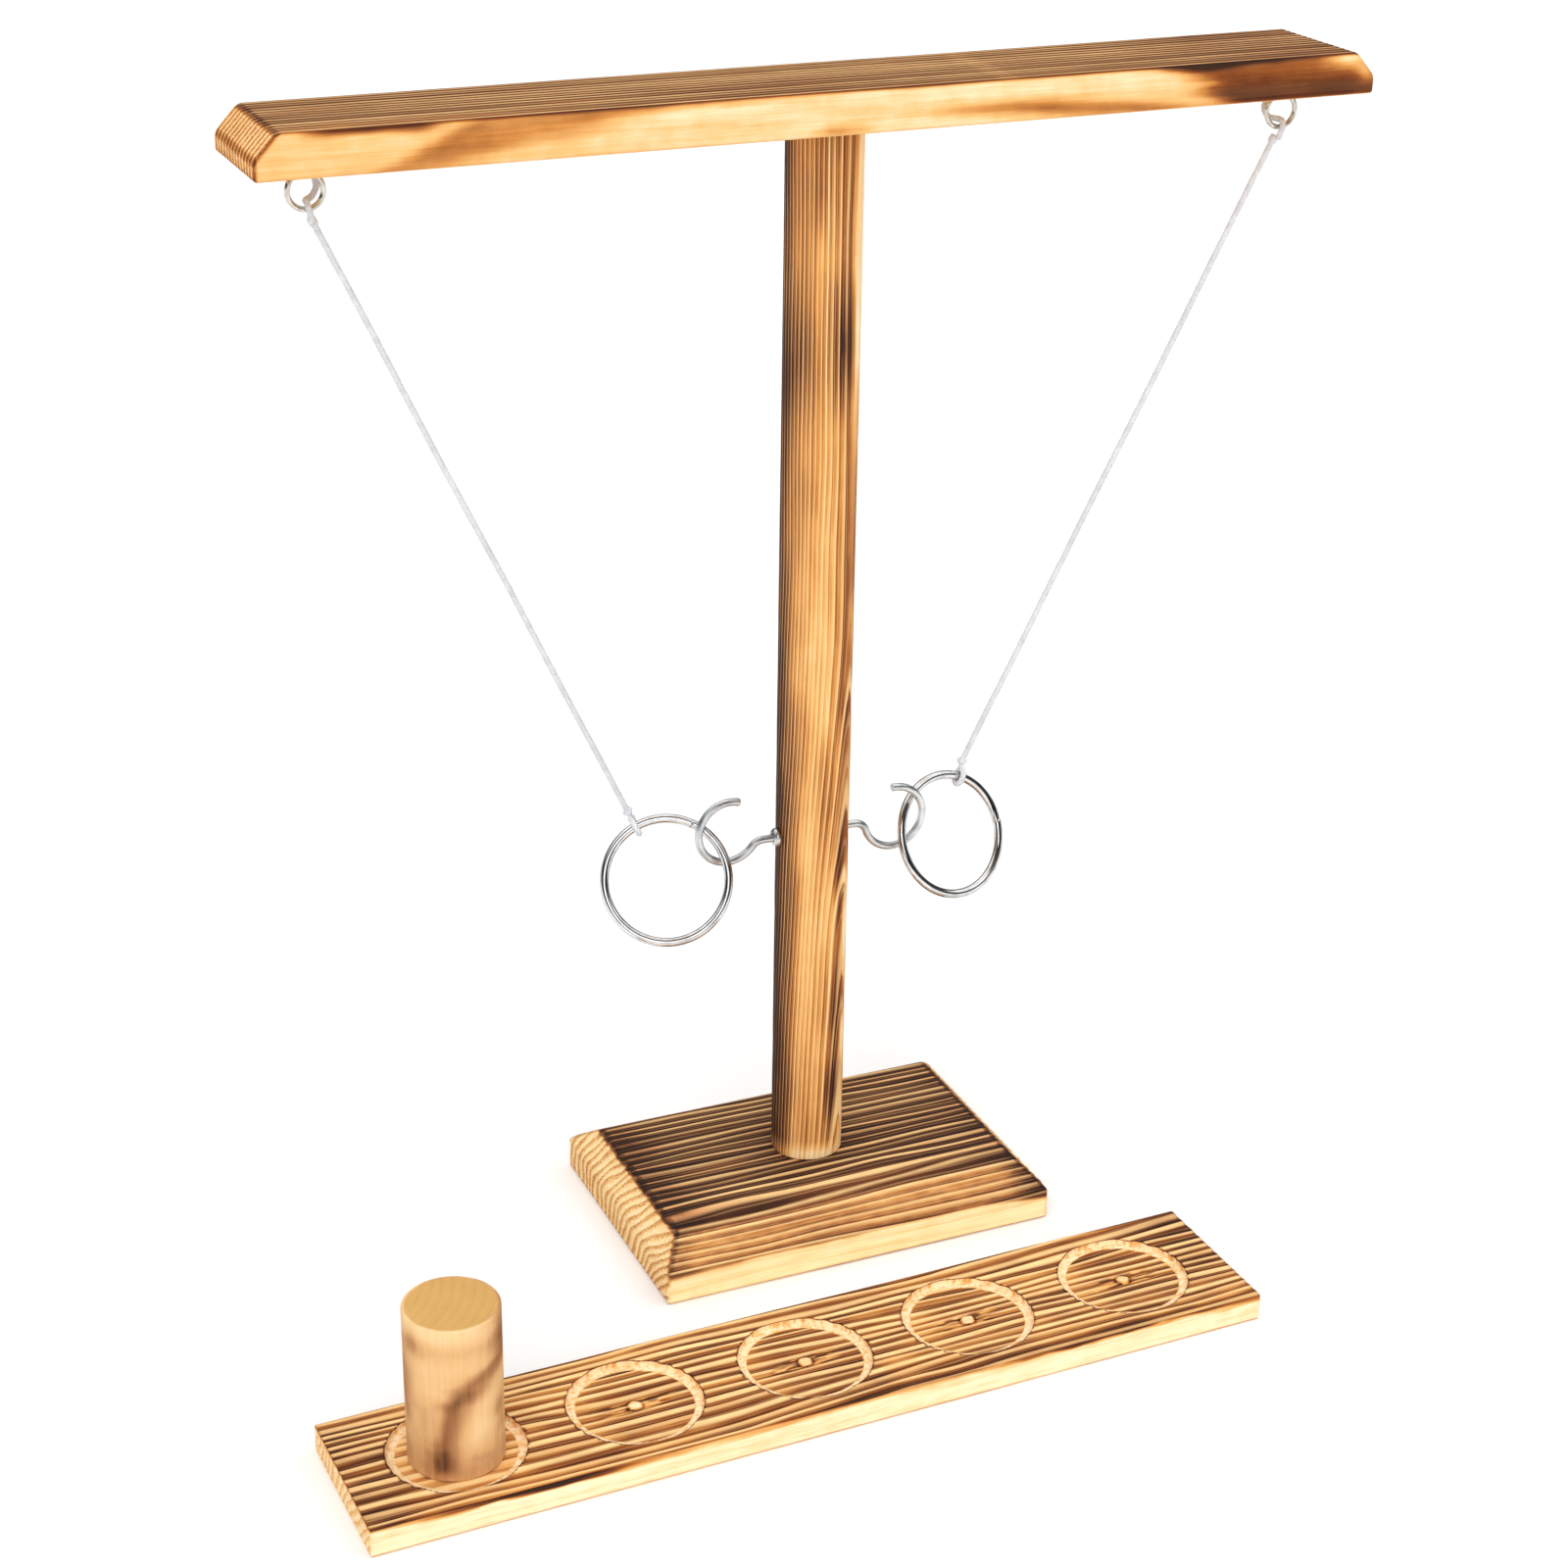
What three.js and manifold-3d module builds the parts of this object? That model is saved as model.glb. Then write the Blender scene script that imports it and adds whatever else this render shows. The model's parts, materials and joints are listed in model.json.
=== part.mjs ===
// Ring toss set: a crossbar on a post carries a toss ring on a cord at each end,
// each ring hangs on a wire hook in the post, and a loose score board holds a peg.
// Millimetres, +Z up. The crossbar runs along X and the score board lies on the -Y side.
import * as THREE from 'three';
import { mergeVertices } from 'three/addons/utils/BufferGeometryUtils.js';
import Module from 'manifold-3d';

const wasm = await Module();
wasm.setup();

// ---- Driving dimensions ----

// Clearance between flat wooden faces that bear on each other.
const SEAT_GAP = 0.1;
// Clearance round screws, wires and cords.
const FIT_GAP = 0.3;

// The base board's top edges are planed off: the run is horizontal, the drop vertical.
const BASE = { width: 128, depth: 86.7, thickness: 17.8, bevelDrop: 7.5, endRun: 6.9, frontRun: 10.8 };
const POST = { radius: 11, length: 321.4 };
const CROSSBAR = { length: 326.6, depth: 39.9, thickness: 12.1, chamferRun: 6.3, chamferDrop: 6.9 };

// Countersunk wood screw, driven up through the base board into the post.
const BASE_SCREW = { headRadius: 4, headRim: 0.4, headDepth: 2.5, shankRadius: 2, length: 44, sunk: 0.4 };
const SCREW_CROSS = { length: 4.4, width: 0.9, depth: 1.2 };
// Headless double-ended screw, hidden between the post and the crossbar.
const STUD = { radius: 2.5, intoPost: 19, intoCrossbar: 8, point: 3 };

// Screw eyes stand with their rings in the plane of the crossbar's length.
const EYE = { offset: 145.3, ringRadius: 4.75, wireRadius: 0.75, drop: 7.4, shankDepth: 7.5 };

// Each hook is wire: a level shank, a short bend down, and a round belly that rises to the tip.
const HOOK = { wireRadius: 1.15, height: 126.3, shankDepth: 8, bendRadius: 4, bellyRadius: 9.7, bellyReach: 27.1 };
// A disc that only the left hook has.
const COLLAR = { radius: 2.8, thickness: 2 };

const RING = { radius: 18.4, wireRadius: 1.3 };
const CORD = { radius: 0.9, knotRadius: 1.9, loopRadius: 2.5 };
// From the screw eye's lowest wire to the swing knot, and from the ring's wire to its knot.
const SWING_KNOT_DROP = 3.8;
const RING_KNOT_RISE = 5;
// The cord's tail stands behind the screw eye, leaning towards the post.
const TAIL = { lean: 3.4, behind: 3, top: 11 };

// The hooks are bent by hand, so each belly sits at its own height and each tip closes to its own
// angle. The rings hang on them turned by different amounts.
const TOSSES = [
  {
    name: 'left',
    side: -1,
    bellyRise: 4.4,
    tipAngle: 110,
    ringCentre: new THREE.Vector3(-47, 0, 118.5),
    ringNormal: new THREE.Vector3(-0.32, -0.8, 0.5),
  },
  {
    name: 'right',
    side: 1,
    bellyRise: 0.2,
    tipAngle: 95,
    ringCentre: new THREE.Vector3(46.9, 0, 117),
    ringNormal: new THREE.Vector3(0.2, -0.88, 0.43),
  },
];

const SCORE_BOARD = { width: 274.7, depth: 50.6, thickness: 8.6, x: -41.9, y: -93.8, yawDegrees: 1 };
const RECESS = { count: 5, pitch: 52.4, radius: 19.4, depth: 1.7 };
const PEG = { radius: 13.4, height: 48, edge: 0.4 };

const WOOD_SIDES = 64;
const WIRE_SIDES = 10;
const CORD_SIDES = 8;

const CROSSBAR_BOTTOM = BASE.thickness + POST.length + 2 * SEAT_GAP;

// ---- Materials ----

function finish(color, roughness, metalness = 0) {
  return new THREE.MeshStandardMaterial({ color, roughness, metalness });
}

const MATERIALS = {
  base: () => finish(0x6b4226, 0.7),
  post: () => finish(0xb9803f, 0.65),
  crossbar: () => finish(0x8a5a30, 0.65),
  board: () => finish(0x9a6434, 0.75),
  peg: () => finish(0xc79a68, 0.6),
  screw: () => finish(0x9b9a94, 0.4, 1),
  nickel: () => finish(0xd6d2c8, 0.2, 1),
  zinc: () => finish(0xc4c7c8, 0.3, 1),
  chrome: () => finish(0xdddddd, 0.08, 1),
  cord: () => finish(0xf2f0ec, 0.85),
};

// ---- Solids ----

// A welded manifold solid from any closed geometry.
function toSolid(geometry) {
  const bare = new THREE.BufferGeometry();
  bare.setAttribute('position', geometry.getAttribute('position'));
  bare.setIndex(geometry.getIndex());
  const welded = mergeVertices(bare, 1e-4);
  const corners = welded.getIndex().array;
  const kept = [];
  for (let i = 0; i < corners.length; i += 3) {
    const [a, b, c] = corners.slice(i, i + 3);
    if (a !== b && b !== c && c !== a) {
      kept.push(a, b, c);
    }
  }
  const vertProperties = new Float32Array(welded.getAttribute('position').array);
  return new wasm.Manifold(new wasm.Mesh({ numProp: 3, vertProperties, triVerts: new Uint32Array(kept) }));
}

function toGeometry(solid) {
  const { vertProperties, triVerts } = solid.getMesh();
  const geometry = new THREE.BufferGeometry();
  geometry.setAttribute('position', new THREE.BufferAttribute(vertProperties, 3));
  geometry.setIndex(new THREE.BufferAttribute(triVerts, 1));
  geometry.computeVertexNormals();
  return geometry;
}

function cut(body, ...tools) {
  return toGeometry(tools.reduce((solid, tool) => solid.subtract(toSolid(tool)), toSolid(body)));
}

function join(...bodies) {
  return toGeometry(bodies.map(toSolid).reduce((whole, part) => whole.add(part)));
}

// A round solid about Z from [radius, height] pairs that start and end on the axis.
function turned(profile, sides) {
  const points = profile.map(([radius, height]) => new THREE.Vector2(radius, height));
  return new THREE.LatheGeometry(points, sides).rotateX(Math.PI / 2);
}

function drill(radius, from, to, sides = 24) {
  return turned([[0, from], [radius, from], [radius, to], [0, to]], sides);
}

function roundSection(radius, sides) {
  const corners = [];
  for (let i = 0; i < sides; i += 1) {
    const angle = (2 * Math.PI * i) / sides;
    corners.push(new THREE.Vector2(radius * Math.cos(angle), radius * Math.sin(angle)));
  }
  return new THREE.Shape(corners);
}

// Wire or cord of round section along a curve.
function rod(curve, radius, sides, steps) {
  const options = { extrudePath: curve, steps, bevelEnabled: false };
  return new THREE.ExtrudeGeometry(roundSection(radius, sides), options);
}

// A block of the given length along X whose two top end corners are cut off.
function bevelledBlock(length, width, thickness, run, drop) {
  const half = length / 2;
  const outline = new THREE.Shape([
    new THREE.Vector2(-half, 0),
    new THREE.Vector2(half, 0),
    new THREE.Vector2(half, thickness - drop),
    new THREE.Vector2(half - run, thickness),
    new THREE.Vector2(-half + run, thickness),
    new THREE.Vector2(-half, thickness - drop),
  ]);
  const block = new THREE.ExtrudeGeometry(outline, { depth: width, bevelEnabled: false });
  return block.translate(0, 0, -width / 2).rotateX(Math.PI / 2);
}

function part(name, geometry, material) {
  const mesh = new THREE.Mesh(geometry, material);
  mesh.name = name;
  return mesh;
}

// ---- Stand ----

// Bevels on all four sides: the common volume of a block bevelled along X and one bevelled along Y.
function baseBoard() {
  const { width, depth, thickness, bevelDrop, endRun, frontRun } = BASE;
  const endBevels = bevelledBlock(width, depth, thickness, endRun, bevelDrop);
  const frontBevels = bevelledBlock(depth, width, thickness, frontRun, bevelDrop).rotateZ(Math.PI / 2);
  const board = toGeometry(toSolid(endBevels).intersect(toSolid(frontBevels)));
  const { headRadius, headRim, headDepth, shankRadius, sunk } = BASE_SCREW;
  const throat = shankRadius + FIT_GAP;
  const countersink = turned(
    [
      [0, -1],
      [headRadius + FIT_GAP, -1],
      [headRadius + FIT_GAP, sunk + headRim + FIT_GAP],
      [throat, sunk + headDepth + FIT_GAP],
      [throat, thickness + 1],
      [0, thickness + 1],
    ],
    32,
  );
  return part('base_board', cut(board, countersink), MATERIALS.base());
}

function baseScrew() {
  const { headRadius, headRim, headDepth, shankRadius, length } = BASE_SCREW;
  const body = turned(
    [
      [0, 0],
      [headRadius, 0],
      [headRadius, headRim],
      [shankRadius, headDepth],
      [shankRadius, length - 4],
      [0, length],
    ],
    32,
  );
  const slot = new THREE.BoxGeometry(SCREW_CROSS.length, SCREW_CROSS.width, 2 * SCREW_CROSS.depth);
  const crossSlot = slot.clone().rotateZ(Math.PI / 2);
  const mesh = part('base_screw', cut(body, slot, crossSlot), MATERIALS.screw());
  mesh.position.z = BASE_SCREW.sunk;
  return mesh;
}

function post() {
  const { radius, length } = POST;
  const bottom = BASE.thickness + SEAT_GAP;
  const screwTop = BASE_SCREW.sunk + BASE_SCREW.length + 1 - bottom;
  const hookHole = HOOK.wireRadius + FIT_GAP;
  const bores = [
    drill(BASE_SCREW.shankRadius + FIT_GAP, -1, screwTop),
    drill(STUD.radius + FIT_GAP, length - STUD.intoPost - 1, length + 1),
  ];
  for (const { side } of TOSSES) {
    const bore = drill(hookHole, radius - HOOK.shankDepth - 1, radius + 1, 16).rotateY((side * Math.PI) / 2);
    bores.push(bore.translate(0, 0, HOOK.height - bottom));
  }
  const stick = turned([[0, 0], [radius, 0], [radius, length], [0, length]], WOOD_SIDES);
  const mesh = part('post', cut(stick, ...bores), MATERIALS.post());
  mesh.position.z = bottom;
  return mesh;
}

function crossbar() {
  const { length, depth, thickness, chamferRun, chamferDrop } = CROSSBAR;
  const bar = bevelledBlock(length, depth, thickness, chamferRun, chamferDrop);
  const eyeHole = EYE.wireRadius + FIT_GAP;
  const bores = [drill(STUD.radius + FIT_GAP, -1, STUD.intoCrossbar + 1)];
  for (const { side } of TOSSES) {
    bores.push(drill(eyeHole, -1, EYE.shankDepth + 1, 16).translate(side * EYE.offset, 0, 0));
  }
  const mesh = part('crossbar', cut(bar, ...bores), MATERIALS.crossbar());
  mesh.position.z = CROSSBAR_BOTTOM;
  return mesh;
}

function crossbarStud() {
  const { radius, intoPost, intoCrossbar, point } = STUD;
  const profile = [
    [0, -intoPost],
    [radius, -intoPost + point],
    [radius, intoCrossbar - point],
    [0, intoCrossbar],
  ];
  const mesh = part('crossbar_stud', turned(profile, 24), MATERIALS.screw());
  mesh.position.z = CROSSBAR_BOTTOM;
  return mesh;
}

// ---- Screw eyes and hooks ----

// Centre of the wire at the lowest point of a screw eye.
function eyeBottom({ side }) {
  return new THREE.Vector3(side * EYE.offset, 0, CROSSBAR_BOTTOM - EYE.drop - EYE.ringRadius);
}

function screwEye(toss) {
  const { ringRadius, wireRadius, drop, shankDepth } = EYE;
  const loop = new THREE.TorusGeometry(ringRadius, wireRadius, WIRE_SIDES, 32).rotateX(Math.PI / 2);
  const top = drop + shankDepth;
  const shank = turned([[0, ringRadius], [wireRadius, ringRadius], [wireRadius, top - 2], [0, top]], 12);
  const mesh = part(`${toss.name}_screw_eye`, join(loop, shank), MATERIALS.nickel());
  mesh.position.set(toss.side * EYE.offset, 0, CROSSBAR_BOTTOM - drop);
  return mesh;
}

// Centreline of a hook from the shank's inner end to the tip, outwards along +X, level with the shank.
function hookOutline({ bellyRise, tipAngle }) {
  const { bendRadius, bellyRadius, bellyReach, shankDepth } = HOOK;
  const rise = bellyRise + bendRadius;
  const run = Math.sqrt((bellyRadius + bendRadius) ** 2 - rise ** 2);
  const bendStart = bellyReach - run;
  const bendEnd = Math.atan2(rise, run);
  const tip = THREE.MathUtils.degToRad(tipAngle);
  const outline = new THREE.Path();
  outline.moveTo(POST.radius - shankDepth, 0);
  outline.lineTo(bendStart, 0);
  outline.absarc(bendStart, -bendRadius, bendRadius, Math.PI / 2, bendEnd, true);
  outline.absarc(bellyReach, bellyRise, bellyRadius, bendEnd - Math.PI, tip, false);
  return outline;
}

function hook(toss) {
  const steps = 44;
  const points = hookOutline(toss).getSpacedPoints(steps);
  const curve = new THREE.CatmullRomCurve3(points.map(({ x, y }) => new THREE.Vector3(toss.side * x, 0, y)));
  const mesh = part(`${toss.name}_hook`, rod(curve, HOOK.wireRadius, WIRE_SIDES, steps), MATERIALS.zinc());
  mesh.position.z = HOOK.height;
  return mesh;
}

// A disc on the hook's wire, against the post.
function hookCollar(toss) {
  const inner = HOOK.wireRadius + FIT_GAP;
  const { radius, thickness } = COLLAR;
  const section = [[inner, 0], [radius, 0], [radius, thickness], [inner, thickness], [inner, 0]];
  const disc = turned(section, 24).rotateY((toss.side * Math.PI) / 2);
  const mesh = part(`${toss.name}_hook_collar`, disc, MATERIALS.zinc());
  mesh.position.set(toss.side * (POST.radius + SEAT_GAP), 0, HOOK.height);
  return mesh;
}

// ---- Cords and rings ----

// The ring's own frame: its axis is Y, and Z points from its centre to its knot.
function ringFrame(toss) {
  const normal = toss.ringNormal.clone().normalize();
  const up = eyeBottom(toss).sub(toss.ringCentre).projectOnPlane(normal).normalize();
  const across = new THREE.Vector3().crossVectors(normal, up);
  const frame = new THREE.Group();
  frame.position.copy(toss.ringCentre);
  frame.quaternion.setFromRotationMatrix(new THREE.Matrix4().makeBasis(across, normal, up));
  frame.updateMatrix();
  return frame;
}

function ringKnotCentre(toss) {
  return new THREE.Vector3(0, 0, RING.radius + RING_KNOT_RISE).applyMatrix4(ringFrame(toss).matrix);
}

function cordDirection(toss) {
  return ringKnotCentre(toss).sub(eyeBottom(toss)).normalize();
}

function swingKnotCentre(toss) {
  return eyeBottom(toss).addScaledVector(cordDirection(toss), SWING_KNOT_DROP);
}

// The end of the cord: over the eye's lowest wire from the front and up behind it.
function eyeTie(toss) {
  const toPost = -toss.side;
  const tube = new THREE.CatmullRomCurve3([
    new THREE.Vector3(toPost * 0.6, -2, -1),
    new THREE.Vector3(toPost * 0.1, -2.05, 0.7),
    new THREE.Vector3(0, -0.9, 2.1),
    new THREE.Vector3(toPost * 0.3, 0.9, 2.2),
    new THREE.Vector3(toPost * 1.2, 2.4, 2.6),
    new THREE.Vector3(toPost * 0.8 * TAIL.lean, TAIL.behind, 4.4),
    new THREE.Vector3(toPost * TAIL.lean, TAIL.behind, 7.4),
    new THREE.Vector3(toPost * 0.9 * TAIL.lean, TAIL.behind, TAIL.top),
  ]);
  const mesh = part(`${toss.name}_eye_tie`, rod(tube, CORD.radius, CORD_SIDES, 18), MATERIALS.cord());
  mesh.position.copy(eyeBottom(toss));
  return mesh;
}

function swingKnot(toss) {
  const knot = new THREE.SphereGeometry(CORD.knotRadius, 12, 8);
  const mesh = part(`${toss.name}_swing_knot`, knot, MATERIALS.cord());
  mesh.position.copy(swingKnotCentre(toss));
  return mesh;
}

// The taut stretch between the two knots, with clearance at each.
function cord(toss) {
  const trim = CORD.knotRadius + FIT_GAP;
  const direction = cordDirection(toss);
  const top = swingKnotCentre(toss).addScaledVector(direction, trim);
  const bottom = ringKnotCentre(toss).addScaledVector(direction, -trim);
  const steps = Math.round(top.distanceTo(bottom) / (5 * CORD.radius));
  const tube = rod(new THREE.LineCurve3(top, bottom), CORD.radius, CORD_SIDES, steps);
  return part(`${toss.name}_cord`, tube, MATERIALS.cord());
}

// A loop of cord round the ring's wire with its knot above it.
function ringKnot(toss) {
  const loop = new THREE.TorusGeometry(CORD.loopRadius, CORD.radius, CORD_SIDES, 20).rotateY(Math.PI / 2);
  const knot = new THREE.SphereGeometry(CORD.knotRadius, 12, 8).translate(0, 0, RING_KNOT_RISE);
  const mesh = part(`${toss.name}_ring_knot`, join(loop, knot), MATERIALS.cord());
  mesh.position.z = RING.radius;
  return mesh;
}

function ring(toss) {
  const torus = new THREE.TorusGeometry(RING.radius, RING.wireRadius, WIRE_SIDES, 56).rotateX(Math.PI / 2);
  return part(`${toss.name}_ring`, torus, MATERIALS.chrome());
}

// ---- Score board ----

function scoreBoard() {
  const { width, depth, thickness } = SCORE_BOARD;
  const plank = new THREE.BoxGeometry(width, depth, thickness).translate(0, 0, thickness / 2);
  const recesses = [];
  for (let i = 0; i < RECESS.count; i += 1) {
    const recess = drill(RECESS.radius, thickness - RECESS.depth, thickness + 1, 48);
    recesses.push(recess.translate((i - (RECESS.count - 1) / 2) * RECESS.pitch, 0, 0));
  }
  return part('score_board', cut(plank, ...recesses), MATERIALS.board());
}

// The peg stands in the recess at the left end.
function peg() {
  const { radius, height, edge } = PEG;
  const profile = [
    [0, 0],
    [radius - edge, 0],
    [radius, edge],
    [radius, height - edge],
    [radius - edge, height],
    [0, height],
  ];
  const mesh = part('score_peg', turned(profile, 48), MATERIALS.peg());
  mesh.position.x = (-(RECESS.count - 1) / 2) * RECESS.pitch;
  mesh.position.z = SCORE_BOARD.thickness - RECESS.depth + SEAT_GAP;
  return mesh;
}

// ---- Assembly ----

const ringTossSet = new THREE.Group();
ringTossSet.add(baseBoard(), baseScrew(), post(), crossbar(), crossbarStud());

for (const toss of TOSSES) {
  ringTossSet.add(screwEye(toss), hook(toss));
  ringTossSet.add(eyeTie(toss), swingKnot(toss), cord(toss));
  ringTossSet.add(ringFrame(toss).add(ringKnot(toss), ring(toss)));
}

ringTossSet.add(hookCollar(TOSSES[0]));

const scoreBoardSet = new THREE.Group();
scoreBoardSet.position.set(SCORE_BOARD.x, SCORE_BOARD.y, 0);
scoreBoardSet.rotation.z = THREE.MathUtils.degToRad(SCORE_BOARD.yawDegrees);
scoreBoardSet.add(scoreBoard(), peg());
ringTossSet.add(scoreBoardSet);

// The origin is the middle of the set's footprint, on the table.
const footprint = new THREE.Box3().setFromObject(ringTossSet, true).getCenter(new THREE.Vector3());
ringTossSet.position.set(-footprint.x, -footprint.y, 0);

export default ringTossSet;
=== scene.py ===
import itertools
import json
import math

import bpy
import numpy as np
from mathutils import Matrix, Vector


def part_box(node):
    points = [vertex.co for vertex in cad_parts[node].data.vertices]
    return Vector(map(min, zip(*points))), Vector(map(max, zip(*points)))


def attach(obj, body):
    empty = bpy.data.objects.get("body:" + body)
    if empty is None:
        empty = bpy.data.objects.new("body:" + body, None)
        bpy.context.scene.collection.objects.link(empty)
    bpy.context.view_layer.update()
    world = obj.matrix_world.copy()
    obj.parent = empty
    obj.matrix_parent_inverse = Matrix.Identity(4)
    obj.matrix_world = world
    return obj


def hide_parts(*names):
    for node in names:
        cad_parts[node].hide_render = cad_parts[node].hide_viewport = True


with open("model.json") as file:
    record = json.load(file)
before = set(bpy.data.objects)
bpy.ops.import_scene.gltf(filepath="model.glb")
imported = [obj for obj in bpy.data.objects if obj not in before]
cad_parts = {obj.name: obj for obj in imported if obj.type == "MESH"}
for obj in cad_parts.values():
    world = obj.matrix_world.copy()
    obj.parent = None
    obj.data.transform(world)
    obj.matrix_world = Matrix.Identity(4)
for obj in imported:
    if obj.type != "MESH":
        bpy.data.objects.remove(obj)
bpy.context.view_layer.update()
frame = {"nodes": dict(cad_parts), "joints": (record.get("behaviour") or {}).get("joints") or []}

MM = 0.001
TAU = 2 * math.pi
JOINTS = {joint["name"]: joint for joint in frame["joints"]}

# ---- Dimensions that the frame's boxes don't give, in mm ----

BASE_BEVEL = {"end_run": 6.9, "front_run": 10.8, "drop": 7.5}
BAR_CHAMFER = {"run": 6.3, "drop": 6.9}
SCREW_HOLE = {"head": 4.3, "rim": 1.1, "throat": 2.3, "throat_start": 3.2}
BOARD = {"length": 274.7, "depth": 50.6, "thickness": 8.6, "yaw": math.radians(1)}
RECESS = {"count": 5, "pitch": 52.4, "radius": 19.4, "depth": 1.7, "rim": 2.6, "pip": 1.9,
          "pale": (0.9, 0.15, 0.1, 0.2, 0.1)}
POST_RADIUS = 11
PEG = {"radius": 13.4, "edge": 0.5}
HOOK = {"height": 126.3, "wire": 1.15, "shank": 8, "bend": 4, "belly": 9.7, "reach": 27.1}
# How far the belly's middle lies above the shank, and the angle at which its wire ends.
HOOK_SHAPES = {"left": {"rise": 4.4, "tip": 110}, "right": {"rise": 0.2, "tip": 95}}
COLLAR = {"inner": 1.3, "radius": 2.8, "thickness": 2}
EYE = {"ring": 4.75, "wire": 0.75, "shank": 14.6}
RING = {"radius": 18.4, "wire": 1.3, "seams": {"left": 144, "right": 153}}
CORD = {"radius": 0.76, "strand": 0.15, "loop": 2.4, "knot": 0.64}
# The short end of the cord that stands up behind each eye.
TAIL = {"lean": 3.4, "behind": 3, "top": 11}
SIDES = {"left": -1, "right": 1}
# The burnt curve down the peg: heights, and how far round its surface the curve's middle lies.
PEG_CURVE = ((0, 6, 14, 24, 30, 33, 36), (-3.8, -3.8, -2.6, 0, 4.4, 11, 19))

# Patches of scorching, and on the base one of painted shade: strength (below 0 pales), middle,
# reach each way and any lean in degrees.
# On the post and the peg the first axis runs round the wood, in degrees and in mm.
# The base's third patch darkens the board round the post's foot: painted contact shade.
BASE_PATCHES = [(-0.2, 6, -26, 34, 11), (-0.1, -28, 8, 16, 26), (0.12, 0, 0, 15, 14)]
BAR_PATCHES = [(0.3, -5, 1.6, 6, 1.6), (0.44, 56, 3.2, 30, 2.2, -2), (0.3, 92, 1.6, 16, 1.4, -3)]
BAR_PALE_PATCHES = [(1, 154, 10.8, 8, 3.2), (0.6, 160, 6.5, 2.4, 4, 60)]
POST_PATCHES = [
    (0.4, -38, 258, 30, 16), (0.46, 40, 262, 24, 16), (0.16, -10, 310, 60, 16),
    (0.22, 38, 290, 14, 42), (0.2, -56, 108, 26, 32), (0.22, 62, 150, 22, 50),
    (0.45, 52, 92, 9, 18), (0.45, 47, 54, 9, 17), (0.5, 44, 24, 19, 12), (0.2, -48, 36, 30, 44),
    (-0.14, 0, 175, 36, 60), (-0.2, 4, 78, 24, 30),
    (-0.5, 74, 80, 9, 14), (-0.5, 72, 42, 8, 8), (-0.5, 68, 9, 13, 7),
]
PEG_PATCHES = [
    (0.25, 15, 19, 3.5, 4), (-0.12, 7, 16, 4, 7), (0.36, -12.5, 42, 4, 3.5),
    (0.38, -17, 26, 3.6, 13), (0.14, -7, 12, 5, 9), (0.1, 2, 42, 9, 4),
]

# ---- The studio, in metres and degrees ----

CAMERA = {"lens": 68.88, "film": 36, "from_post": (-0.34, -0.74269, 0.50997), "yaw": -23.995,
          "down": 24.272, "roll": 0.843}
SUNS = {"key": {"toward": (-0.55, -0.85, 0.8), "strength": 2.0, "spread": 70},
        "fill": {"toward": (0.9, -0.5, 0.6), "strength": 0.68, "spread": 70}}
FLOOR_REACH = 9
# Brightness of the sky at rising heights: sine of the elevation, brightness.
SKY = [(0.0, 0.5), (0.1, 0.35), (0.22, 0.03), (0.5, 0.06), (0.64, 1.25)]
# The side behind the camera: its direction, and the cosines where it darkens and a lamp lights it.
CAMERA_SIDE = {"toward": (-0.37, -0.82, 0.44), "dark": (0.5, 0.72), "lamp": (0.92, 0.965),
               "brightness": 1.5}


# ---- Small maths ----

def ease(low, high, x):
    """0 on low's side, 1 on high's side and smooth between."""
    t = np.clip((x - low) / (high - low), 0, 1)
    return t * t * (3 - 2 * t)


def noise(points, cell, seed):
    """Smooth random lumps between -1 and 1; cell is a lump's size along each axis."""
    size = 48
    table = np.random.default_rng(seed).uniform(-1, 1, (size,) * 3)
    place = points / np.asarray(cell, float) + 0.37
    base = np.floor(place).astype(int)
    part = place - base
    part = part * part * (3 - 2 * part)
    total = np.zeros(len(points))
    for corner in itertools.product((0, 1), repeat=3):
        weight = np.prod(np.where(corner, part, 1 - part), axis=1)
        x, y, z = ((base + corner) % size).T
        total += weight * table[x, y, z]
    return total


def lumps(points, cell, seed):
    """Noise with two finer layers on it."""
    layers = [0.5 ** i * noise(points, np.asarray(cell, float) / finer, seed + i)
              for i, finer in enumerate((1, 2.1, 4.3))]
    return sum(layers) / 1.4


def blot(u, v, centre, size, angle=0.0):
    """1 at a soft elliptical blot's centre, falling to 0 beyond its size."""
    turn = math.radians(angle)
    x = (u - centre[0]) * math.cos(turn) + (v - centre[1]) * math.sin(turn)
    y = (v - centre[1]) * math.cos(turn) - (u - centre[0]) * math.sin(turn)
    return np.exp(-((x / size[0]) ** 2 + (y / size[1]) ** 2))


def patches(u, v, table):
    """The sum of soft blots at (u, v), from a table of patches."""
    return sum(strength * blot(u, v, (a, b), (c, d), *lean)
               for strength, a, b, c, d, *lean in table)


def bearing(x, y, front):
    """Degrees round Z from the side at -front degrees, between -180 and 180."""
    return (np.degrees(np.arctan2(y, x)) + front + 180) % 360 - 180


# ---- Meshes ----

def grid_faces(columns, rows, flip=False):
    i, j = np.meshgrid(np.arange(columns - 1), np.arange(rows - 1), indexing="ij")
    corner = i * rows + j
    faces = np.stack([corner, corner + rows, corner + rows + 1, corner + 1], axis=-1).reshape(-1, 4)
    return faces[:, ::-1] if flip else faces


def sheet(x, y, z):
    """A grid of points from coordinates that broadcast to one shape."""
    return np.stack(np.broadcast_arrays(x, y, z), axis=-1)


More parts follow.
